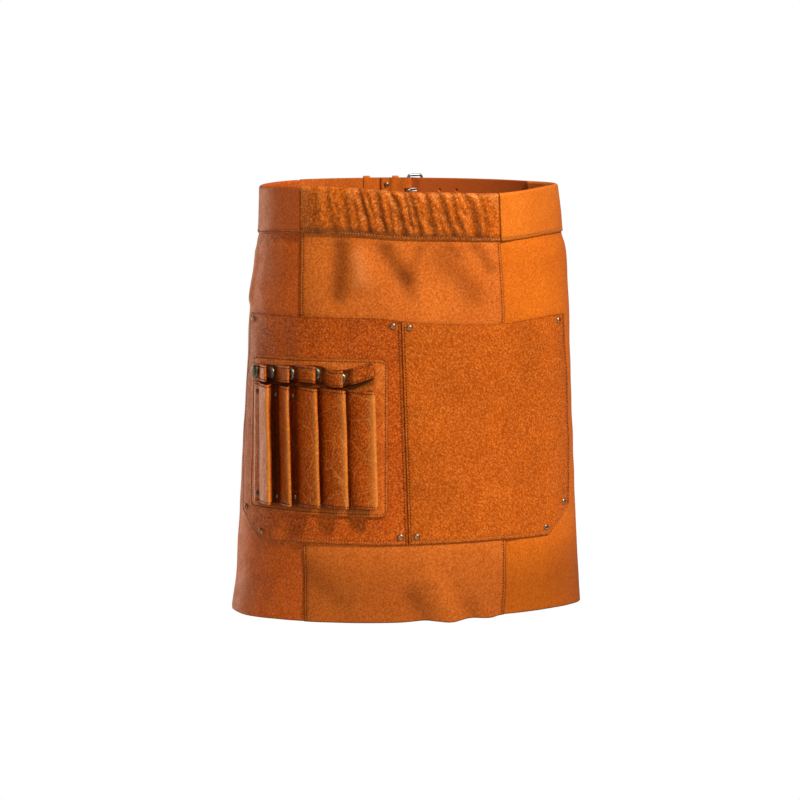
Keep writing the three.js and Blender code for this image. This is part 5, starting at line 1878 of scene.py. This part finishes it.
@dataclass(frozen=True)
class Dome:
    """Round metal cap, described by shares of its radius and of its rise."""

    diameter: float
    rise: float
    profile: tuple[tuple[float, float], ...]
    sides: int = 28

    def build(
        self, name: str, surface: Callable[[float, float], Array], u: float, z: float, gap: float
    ) -> bpy.types.Object:
        """Seats a cap on a face.

        Args:
            name: the piece's name.
            surface: gives the face's points.
            u: place along.
            z: height.
            gap: clearance under the cap, mm.

        Returns:
            The new object.
        """
        reach = self.diameter / 2.0
        spots = [surface(u + reach, z), surface(u - reach, z), surface(u, z + reach), surface(u, z - reach)]
        middle = surface(u, z)
        right = (spots[0] - spots[1]) / np.linalg.norm(spots[0] - spots[1])
        up = spots[2] - spots[3]
        out = np.cross(right, up / np.linalg.norm(up))
        out /= np.linalg.norm(out)
        up = np.cross(out, right)
        bow = [float((spot - middle) @ out) for spot in spots]
        seat = max(*bow, 0.0) + gap
        base = middle + out * seat
        foot = -(seat - min(*bow, 0.0)) + 0.05
        rings = [
            (across * reach, share * self.rise) for across, share in self.profile
        ] + [(reach, foot), (reach * 0.5, foot)]
        turn = 2.0 * math.pi * np.arange(self.sides) / self.sides
        points = [base + out * self.rise]
        for radius, height in rings:
            points.extend(
                base + out * height + right * radius * math.cos(angle) + up * radius * math.sin(angle)
                for angle in turn
            )
        faces: list[tuple[int, ...]] = [(0, 1 + k, 1 + (k + 1) % self.sides) for k in range(self.sides)]
        for ring in range(len(rings) - 1):
            first = 1 + ring * self.sides
            for k in range(self.sides):
                after = (k + 1) % self.sides
                faces.append((first + k, first + self.sides + k, first + self.sides + after, first + after))
        last = 1 + (len(rings) - 1) * self.sides
        faces.append(tuple(last + k for k in range(self.sides)))
        return make_object(name, np.array(points), faces)


RIVET_CAP = ((0.30, 0.97), (0.58, 0.84), (0.78, 0.62), (0.92, 0.34), (1.0, 0.08))
STUD_CAP = ((0.30, 0.99), (0.60, 0.93), (0.78, 0.80), (0.90, 0.55), (0.97, 0.28), (1.0, 0.06))


@dataclass
class Trim:
    """Rivets of the pockets and tubes, and the press studs of the looped strap."""

    form: Form
    finishes: Finishes
    holder: ToolHolder
    rivet: Dome = Dome(7.0, 1.8, RIVET_CAP)
    small_rivet: Dome = Dome(5.4, 1.4, RIVET_CAP)
    stud: Dome = Dome(15.0, 3.0, STUD_CAP)
    inset: float = 9.0
    below_top: float = 0.7
    high_in: float = 1.3
    high_over: float = 1.45
    low_past: float = 0.4
    pleat_inset: float = 11.5
    pleat_over: float = 0.8

    def seat(self, dome: Dome, name: str, slot: str, face: Depth, u: float, z: float) -> None:
        """Seats one cap on the skirt and dresses it."""
        spot = lambda a, b: self.form.skirt(a, b, face(np.asarray(a, float), np.asarray(b, float)))
        # The tubes' small rivets take the darker stud finish as painted shade, since they sit in the tubes'
        # valleys
        finish = self.finishes.rivet if dome is self.rivet else self.finishes.stud
        dress(dome.build(f"{name}_cap", spot, u, z, self.form.gap), finish, slot, name)

    def pocket_rivets(self, side: Side) -> None:
        """Seats the five rivets of a pocket."""
        form, away, inset = self.form, side.value, self.inset
        level = lambda u: float(form.pocket_top(np.array([u]))[0]) - self.below_top * inset
        low = lambda u: float(form.pocket_bottom(side, np.array([u]))[0])
        seam = lambda z: float(form.pocket_seam(np.array([z]))[0])
        edge = float(form.pocket_edge(Side.LEFT, np.array([form.pocket_top_level]))[0])
        outer_top = edge * -away - away * inset
        inner_top = seam(level(0.0)) + away * inset
        inner_low = seam(low(0.0)) + away * inset
        high = away * (form.pocket_reach - self.high_in * inset)
        past = away * (form.pocket_reach - form.chamfer_width - self.low_past * inset)
        places = {
            "top_outer": (outer_top, level(outer_top)),
            "top_inner": (inner_top, level(inner_top)),
            "corner_high": (high, low(high) + self.high_over * inset),
            "corner_low": (past, low(past) + inset),
            "bottom_inner": (inner_low, low(inner_low) + inset),
        }
        for word, (u, z) in places.items():
            self.seat(self.rivet, f"rivet_{side.word}_{word}", "rivet", form.pocket_face, u, z)

    def build(self) -> None:
        """Seats all rivets and press studs."""
        form, holder = self.form, self.holder
        for side in Side:
            self.pocket_rivets(side)
        pleat_face = lambda u, z: form.plate_face(u, z) + form.gap + holder.pleat_leather
        for k, pleat in enumerate(PLEATS):
            foot = form.plate_u(pleat.foot)
            top = float(holder.pleat_top(foot))
            low = float(holder.pleat_low(foot)) + self.pleat_over * self.pleat_inset
            for word, z in {"high": top - self.pleat_inset, "low": low}.items():
                u = foot + holder.pleat_lean * (top - z)
                self.seat(self.small_rivet, f"pleat_rivet_{word}_{k + 1}", "rivet", pleat_face, u, z)
        loop_face = lambda u, z: form.plate_face(u, z) + form.gap + holder.loop_leather
        for k, loop in enumerate(LOOPS):
            u = form.plate_u(loop.stud)
            self.seat(self.stud, f"press_stud_{k + 1}", "stud", loop_face, u, float(holder.loop_middle(u)))


class FoldStop(NamedTuple):
    """Folded layer of the left strap. share: of its length; gap: to the main layer, mm."""

    share: float
    gap: float


def sweep(
    name: str, path: Array, section: Array, across: Array, closed: bool, taper: Array | None = None
) -> bpy.types.Object:
    """Runs a section along a path.

    Args:
        name: the piece's name.
        path: the points it follows, mm.
        section: the section's points, to the side and across, mm.
        across: fixed direction across the path.
        closed: whether the path closes on itself.
        taper: size of the section at each point, as a share.

    Returns:
        The new object.
    """
    if closed:
        run = np.roll(path, -1, axis=0) - np.roll(path, 1, axis=0)
    else:
        run = np.gradient(path, axis=0)
    run /= np.linalg.norm(run, axis=1, keepdims=True)
    side = np.cross(across, run)
    side /= np.linalg.norm(side, axis=1, keepdims=True)
    size = np.ones(len(path)) if taper is None else taper
    points = (
        path[:, None, :]
        + side[:, None, :] * section[None, :, :1] * size[:, None, None]
        + across[None, None, :] * section[None, :, 1:] * size[:, None, None]
    )
    count, corners = len(path), len(section)
    faces: list[tuple[int, ...]] = []
    for k in range(count if closed else count - 1):
        here, there = k * corners, (k + 1) % count * corners
        for s in range(corners):
            after = (s + 1) % corners
            faces.append((here + s, here + after, there + after, there + s))
    if not closed:
        faces.append(tuple(range(corners))[::-1])
        faces.append(tuple((count - 1) * corners + s for s in range(corners)))
    return make_object(name, points.reshape(-1, 3), faces)


def round_section(radius: float, sides: int) -> Array:
    """Section of a round wire."""
    turn = 2.0 * math.pi * np.arange(sides) / sides
    return radius * np.stack((np.cos(turn), np.sin(turn)), axis=1)


def soft_box(width: float, height: float, radius: float, steps: int = 3) -> Array:
    """Rounded rectangle round the origin.

    Args:
        width: its size along the first axis, mm.
        height: its size along the second axis, mm.
        radius: corner radius, mm.
        steps: stretches of a corner.

    Returns:
        Its points, in order.
    """
    points = []
    for k, (sx, sy) in enumerate(((1, 1), (-1, 1), (-1, -1), (1, -1))):
        for step in range(steps + 1):
            turn = (k + step / steps) * math.pi / 2.0
            x = sx * (width / 2.0 - radius) + radius * math.cos(turn)
            points.append((x, sy * (height / 2.0 - radius) + radius * math.sin(turn)))
    return np.array(points)


@dataclass
class BackClosure:
    """Two straps fastened by a buckle, with two keepers and the rivets of the folded end."""

    form: Form
    finishes: Finishes
    height: float = 28.0
    leather: float = 2.0
    tongue: float = 15.0
    shoulder: float = 0.8
    fold_back: float = 32.0
    tail: float = 60.0
    tip: float = 14.0
    tip_width: float = 0.25
    wire: float = 3.2
    width: float = 15.0
    bar_place: float = 9.5
    corner: float = 3.0
    prong_wire: float = 2.2
    prong_reach: float = 3.0
    slot_reach: float = 0.75
    room: float = 1.4
    keeper_width: float = 7.5
    keeper_leather: float = 1.2
    keeper_places: tuple[float, ...] = (15.0, 48.0)
    rivet_place: float = 25.0
    rivet_inset: float = 7.7
    rivet: Dome = Dome(6.4, 1.8, RIVET_CAP)
    hole_places: tuple[float, ...] = (27.0, 46.5)
    hole_width: float = 3.2
    hole_core: float = 0.15
    prong_turns: tuple[float, ...] = (-200.0, -155.0, -110.0, -65.0, -20.0)
    prong_course: tuple[tuple[float, float], ...] = ((0.26, 0.26), (0.62, 0.86), (1.0, 1.0))

    def __post_init__(self) -> None:
        """Works out the places of the layers."""
        form, leather, gap = self.form, self.leather, self.form.gap
        self.top = form.top + 1.0
        self.middle = self.top - self.height / 2.0
        self.strap_d = form.leather - leather / 2.0
        self.bar_b = -self.bar_place
        self.bar_d = self.strap_d - leather / 2.0 - gap - self.wire / 2.0
        self.far_b = self.bar_b + self.width
        self.far_d = self.strap_d + leather / 2.0 + gap + self.wire / 2.0
        self.tail_d = self.strap_d + leather + gap
        self.fold_middle = self.wire / 2.0 + gap + leather / 2.0
        back = float(np.interp(self.top, form.levels, form.back_lengths))
        self.left_end = form.band_reach - back
        self.right_end = back - form.band_reach

    def half(self, b: Array, end: float) -> Array:
        """Half height of a strap, lower inside the waistband's closed end."""
        inside = np.clip((np.abs(b) - end + self.shoulder) / self.shoulder, 0.0, 1.0)
        return self.height / 2.0 - inside * (
            self.top - self.form.top + self.form.leather + self.leather / 2.0
        )

    def local(self, b: float, d: float) -> Matrix:
        """Frame on the straps: x along them, y out of the apron, z up.

        Args:
            b: place along the straps.
            d: distance out.

        Returns:
            The frame, in millimetres.
        """
        reach = self.height / 2.0
        place = self.form.back_place
        high, low = Vector(place(b, self.middle + reach, d)), Vector(place(b, self.middle - reach, d))
        along = Vector(place(b + 1.0, self.middle, d)) - Vector(place(b - 1.0, self.middle, d))
        along.normalize()
        out = (high - low).cross(along).normalized()
        up = along.cross(out)
        middle = (high + low) / 2.0
        made = Matrix.Identity(4)
        for column, axis in enumerate((along, out, up, middle)):
            for row in range(3):
                made[row][column] = axis[row]
        return made

    def cutter(self, corners: Array, faces: Sequence[Sequence[int]], place: Matrix) -> bpy.types.Object:
        """Makes a tool that cuts a hole, with a tone that paints the cut faces dark as painted shade."""
        points = np.array([place @ Vector(corner) for corner in corners])
        return make_object("cutter", points, faces, np.full(len(points), -1.0))

    def slot(self, start: float, end: float, low: float, high: float) -> bpy.types.Object:
        """Makes the tool that cuts the prong's slot.

        Args:
            start: its left end.
            end: its right end.
            low: its side next to the body.
            high: its outer side.

        Returns:
            The tool.
        """
        reach = self.prong_wire / 2.0 + 2.0 * self.form.gap
        corners = [
            (x - self.bar_b, y - self.bar_d, z)
            for x in (start, end)
            for y in (low, high)
            for z in (-reach, reach)
        ]
        faces = ((0, 1, 3, 2), (4, 6, 7, 5), (0, 4, 5, 1), (2, 3, 7, 6), (0, 2, 6, 4), (1, 5, 7, 3))
        return self.cutter(np.array(corners), faces, self.local(self.bar_b, self.bar_d))

    def hole(self, b: float) -> list[bpy.types.Object]:
        """Makes the tools that press a belt hole from both faces, with a thin core left whose dark colour
        is painted shade.
        """
        sides = 16
        ring = round_section(self.hole_width / 2.0, sides)
        faces = [tuple(range(sides)), tuple(range(2 * sides - 1, sides - 1, -1))]
        faces += [(k, sides + k, sides + (k + 1) % sides, (k + 1) % sides) for k in range(sides)]
        tools = []
        for ends in ((-4.0, -self.hole_core), (self.hole_core, 4.0)):
            corners = np.array([(x, y, z) for y in ends for x, z in ring])
            tools.append(self.cutter(corners, faces, self.local(b, self.strap_d)))
        return tools

    def cut(self, piece: bpy.types.Object, tools: Sequence[bpy.types.Object]) -> bpy.types.Object:
        """Cuts tools out of a piece.

        Args:
            piece: the piece.
            tools: the tools, which are used up.

        Returns:
            The piece, with a new mesh.
        """
        for tool in tools:
            change = piece.modifiers.new("cut", "BOOLEAN")
            change.operation = "DIFFERENCE"
            change.solver = "EXACT"
            change.object = tool
        graph = bpy.context.evaluated_depsgraph_get()
        mesh = bpy.data.meshes.new_from_object(piece.evaluated_get(graph))
        piece.modifiers.clear()
        piece.data = mesh
        for tool in tools:
            bpy.data.objects.remove(tool)
        return piece

    def ribbon(self, name: str, path: Array, half: Line, flesh: tuple[float, float]) -> Ribbon:
        """Describes a strap along a path."""
        return Ribbon(
            name,
            path,
            self.leather,
            lambda b: self.middle - half(b),
            lambda b: self.middle + half(b),
            self.form.back_place,
            tone=np.zeros(len(path)),
            flesh=flesh,
        )

    def left_strap(self) -> None:
        """Builds the strap that is folded round the buckle's bar."""
        gap = self.form.gap
        stops = (
            FoldStop(0.15, self.wire + 2.0 * gap),
            FoldStop(0.33, self.keeper_leather + 3.0 * gap),
            FoldStop(0.59, self.keeper_leather + 3.0 * gap),
            FoldStop(0.67, gap),
            FoldStop(1.00, gap),
        )
        path = [(self.left_end - self.tongue, self.strap_d), (self.left_end, self.strap_d)]
        path.append((self.left_end + self.shoulder, self.strap_d))
        for turn in np.linspace(math.pi / 2.0, -math.pi / 2.0, 13):
            b = self.bar_b + self.fold_middle * math.cos(turn)
            path.append((b, self.bar_d + self.fold_middle * math.sin(turn)))
        for stop in stops:
            path.append((self.bar_b - self.fold_back * stop.share, self.strap_d - self.leather - stop.gap))
        fine = refine(np.array(path), 3.0)
        ribbon = self.ribbon(
            "back_strap_left_leather", fine, lambda b: self.half(b, -self.left_end), (0.0, 0.1)
        )
        reach = self.fold_middle + self.leather
        tool = self.slot(
            self.bar_b - 2.0 * self.prong_wire,
            self.bar_b + reach,
            self.bar_d - reach,
            self.tail_d - self.leather / 2.0 - gap / 2.0,
        )
        piece = self.cut(ribbon.build(), [tool])
        dress(piece, self.finishes.strap, "strap", "back_strap_left")
        ribbon.length

    def right_strap(self) -> None:
        """Builds the strap that passes through the buckle, with its belt holes."""
        end = self.bar_b - self.tail
        path = [(self.right_end + self.tongue, self.strap_d), (self.right_end, self.strap_d)]
        path += [(self.right_end - self.shoulder, self.strap_d), (self.far_b, self.strap_d)]
        foot = self.bar_b + self.fold_middle + self.leather
        for share in np.linspace(0.1, 1.0, 10):
            path.append(
                (mix(self.far_b, foot, share), mix(self.strap_d, self.tail_d, float(smooth(share))))
            )
        path.append((self.bar_b, self.tail_d))
        for share in (1.0, 0.85, 0.7, 0.5, 0.35, 0.2, 0.1, 0.0):
            path.append((end + self.tip * share, self.tail_d))
        fine = refine(np.array(path), 3.0)

        def half(b: Array) -> Array:
            """Half height of the strap, narrowing to its tip."""
            point = np.clip((end + self.tip - b) / self.tip, 0.0, 1.0)
            return self.half(b, self.right_end) * np.where(
                b < 0, mix(1.0, self.tip_width, point * point), 1.0
            )

        ribbon = self.ribbon("back_strap_right_leather", fine, half, (1.0, 0.0))
        tools = [
            self.slot(
                self.bar_b - self.prong_wire,
                self.bar_b + self.slot_reach * self.width,
                self.strap_d,
                self.far_d + self.wire,
            )
        ]
        tools += [tool for b in self.hole_places for tool in self.hole(b)]
        piece = self.cut(ribbon.build(), tools)
        dress(piece, self.finishes.strap, "strap", "back_strap_right")
        ribbon.length

    def buckle(self) -> None:
        """Builds the buckle's frame and prong."""
        place = self.local(self.bar_b, self.bar_d)
        rotation = np.array(place.to_3x3())
        origin = np.array(place.translation)
        rise = self.far_d - self.bar_d
        size = math.hypot(self.width, rise)
        slope = np.array((self.width, rise)) / size
        height = self.height + self.wire + 2.0 * self.room
        outline = soft_box(size, height, self.corner, 6) + np.array((size / 2.0, 0.0))
        path = np.stack((outline[:, 0] * slope[0], outline[:, 0] * slope[1], outline[:, 1]), axis=1)
        path = np.concatenate([path, path[:1]])
        fine = refine(path, 2.0)[:-1]
        across = rotation @ np.array((-slope[1], slope[0], 0.0))
        ring = sweep(
            "buckle_frame_wire", fine @ rotation.T + origin, round_section(self.wire / 2.0, 16), across,
            True
        )
        dress(ring, self.finishes.buckle, "buckle", "buckle_frame")

        hug = self.wire / 2.0 + self.form.gap + self.prong_wire / 2.0
        over = rise + hug
        turns = np.radians(np.linspace(self.prong_turns[0], self.prong_turns[-1], 17))
        points = [(hug * math.cos(turn), hug * math.sin(turn), 0.0) for turn in turns]
        points += [(along * self.width, up * over, 0.0) for along, up in self.prong_course]
        points.append((self.width + self.prong_reach, over, 0.0))
        course = refine(np.array(points), 1.5)
        lengths = np.arange(len(course)) / (len(course) - 1)
        taper = mix(1.0, 0.6, smooth((lengths - 0.9) / 0.1))
        prong = sweep(
            "buckle_prong_wire",
            course @ rotation.T + origin,
            round_section(self.prong_wire / 2.0, 12),
            rotation @ np.array((0.0, 0.0, 1.0)),
            False,
            taper,
        )
        dress(prong, self.finishes.buckle, "buckle", "buckle_prong")

    def keepers(self) -> None:
        """Builds the two keepers round both straps."""
        gap = self.form.gap
        low = self.strap_d - self.leather / 2.0 - gap
        high = self.tail_d + self.leather / 2.0 + gap
        half = self.height / 2.0 + 2.0 * gap
        thick = self.keeper_leather
        outline = soft_box(high - low + thick, 2.0 * half + thick, 1.0, 5)
        loop = np.stack((np.zeros(len(outline)), outline[:, 0] + (low + high) / 2.0, outline[:, 1]), axis=1)
        loop = refine(np.concatenate([loop, loop[:1]]), 3.0)[:-1]
        for k, distance in enumerate(self.keeper_places):
            place = self.local(self.bar_b - distance, 0.0)
            rotation, origin = np.array(place.to_3x3()), np.array(place.translation)
            section = soft_box(thick, self.keeper_width, 0.35, 3)
            piece = sweep(
                f"keeper_{k + 1}_leather",
                loop @ rotation.T + origin,
                section,
                rotation @ np.array((1.0, 0.0, 0.0)),
                True,
            )
            dress(piece, self.finishes.strap, "strap", f"keeper_{k + 1}")

    def rivets(self) -> None:
        """Seats the rivets of the folded layer, crowns towards the body."""
        depth = self.strap_d - 1.5 * self.leather - self.form.gap
        face = lambda b, z: self.form.back_place(b, z, depth)
        away = self.height / 2.0 - self.rivet_inset
        for word, sign in (("upper", 1.0), ("lower", -1.0)):
            cap = self.rivet.build(
                f"strap_rivet_{word}_cap", face, self.bar_b - self.rivet_place, self.middle + sign * away,
                self.form.gap
            )
            dress(cap, self.finishes.rivet, "rivet", f"strap_rivet_{word}")

    def build(self) -> None:
        """Builds the whole closure."""
        self.left_strap()
        self.right_strap()
        self.buckle()
        self.keepers()
        self.rivets()


# Studio


@dataclass(frozen=True)
class Lamp:
    """Soft square light, aimed at the studio's target. place: metres."""

    name: str
    place: tuple[float, float, float]
    size: float
    power: float
    colour: str = "ffffff"


@dataclass
class Studio:
    """Pale sweep, soft lights and a long lens, as in the photograph."""

    target: tuple[float, float, float] = (-9.96, -0.87, -218.0)
    azimuth: float = 5.0
    elevation: float = 7.0
    distance: float = 5100.0
    lens: float = 202.0
    floor_level: float = -1.15
    lamps: tuple[Lamp, ...] = (
        Lamp("key_light", (2.0, -2.3, 2.9), 0.5, 232.0, "fff8ee"),
        Lamp("left_light", (-2.1, 1.6, -0.2), 1.5, 22.0, "ffe2c8"),
        Lamp("fill_light", (-1.2, -3.4, 0.2), 2.0, 19.0),
        Lamp("top_light", (0.2, -0.2, 2.6), 1.0, 10.0),
    )
    room_light: float = 0.15

    def build(self) -> None:
        """Sets up the floor, the lights, the world and the camera."""
        scene = bpy.context.scene
        half = 1900.0
        level = self.floor_level / MM
        corners = np.array(
            [(-half, -half, level), (half, -half, level), (half, half, level), (-half, half, level)]
        )
        floor = make_object("studio_floor", corners, [(0, 1, 2, 3)])
        floor.data.materials.append(PaperFinish("white_paper_sweep", "f6f6f4").material())
        floor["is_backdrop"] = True
        aim = Vector(self.target) * MM
        for lamp in self.lamps:
            light = bpy.data.lights.new(lamp.name, "AREA")
            light.energy = lamp.power
            light.size = lamp.size
            light.color = linear(lamp.colour)[:3]
            holder = bpy.data.objects.new(lamp.name, light)
            holder.location = lamp.place
            holder.rotation_euler = (aim - Vector(lamp.place)).to_track_quat("-Z", "Y").to_euler()
            scene.collection.objects.link(holder)
        world = bpy.data.worlds.new("pale_room")
        world.use_nodes = True
        world.node_tree.nodes.clear()
        # The room behind the apron is white to the camera; its light on the apron is dimmer
        seen = add_node(world, "ShaderNodeLightPath", output="Is Camera Ray")
        strength = add_node(
            world, "ShaderNodeMix", {"Factor": seen, "A": self.room_light, "B": 1.0}, data_type="FLOAT"
        )
        room = add_node(
            world, "ShaderNodeBackground", {"Color": (1.0, 1.0, 1.0, 1.0), "Strength": strength}
        )
        add_node(world, "ShaderNodeOutputWorld", {"Surface": room})
        scene.world = world
        scene.view_settings.view_transform = "Standard"
        turn, rise = math.radians(self.azimuth), math.radians(self.elevation)
        away = Vector((math.sin(turn) * math.cos(rise), -math.cos(turn) * math.cos(rise), math.sin(rise)))
        camera = bpy.data.objects.new("photo_camera", bpy.data.cameras.new("photo_camera"))
        camera.data.lens = self.lens
        camera.data.sensor_width = 36.0
        camera.data.clip_end = 100.0
        camera.location = aim + away * self.distance * MM
        camera.rotation_euler = (-away).to_track_quat("-Z", "Y").to_euler()
        scene.collection.objects.link(camera)
        scene.camera = camera
        LOG.info("studio: %d lights", len(self.lamps))


def plain(box: Any) -> Any:
    """Turns a box into plain lists of numbers."""
    if isinstance(box, dict):
        return {key: plain(value) for key, value in box.items()}
    if hasattr(box, "__len__") and not isinstance(box, str):
        return [plain(value) for value in box]
    return float(box)


def main() -> None:
    """Builds the apron and its studio."""
    logging.basicConfig(level=logging.INFO, format="%(message)s")
    form = Form()
    finishes = Finishes()
    seams = Stitching("stitches_skirt")
    band_seam = Stitching("stitches_waistband", length=1.6, radius=0.6)
    pocket_seams = Stitching("stitches_pockets")
    pocket_feet = Stitching("stitches_pocket_feet")
    holder_seams = Stitching("stitches_holder")
    Skirt(form, finishes, seams).build()
    Waistband(form, finishes, band_seam).build()
    Pockets(form, finishes, pocket_seams, pocket_feet).build()
    holder = ToolHolder(form, finishes, holder_seams)
    holder.build()
    Trim(form, finishes, holder).build()
    BackClosure(form, finishes).build()
    # The waistband's row and the pockets' foot rows take the lighter thread, a painted highlight
    for stitches, slot, thread in (
        (seams, "front", finishes.thread),
        (band_seam, "band", finishes.light_thread),
        (pocket_seams, "pocket", finishes.thread),
        (pocket_feet, "pocket", finishes.light_thread),
        (holder_seams, "holder", finishes.thread),
    ):
        dress(stitches.build(), thread, slot)
    Studio().build()
    {"cad": plain(CAD_BOX), "visual": plain(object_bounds())}


if __name__ == "__main__":
    main()
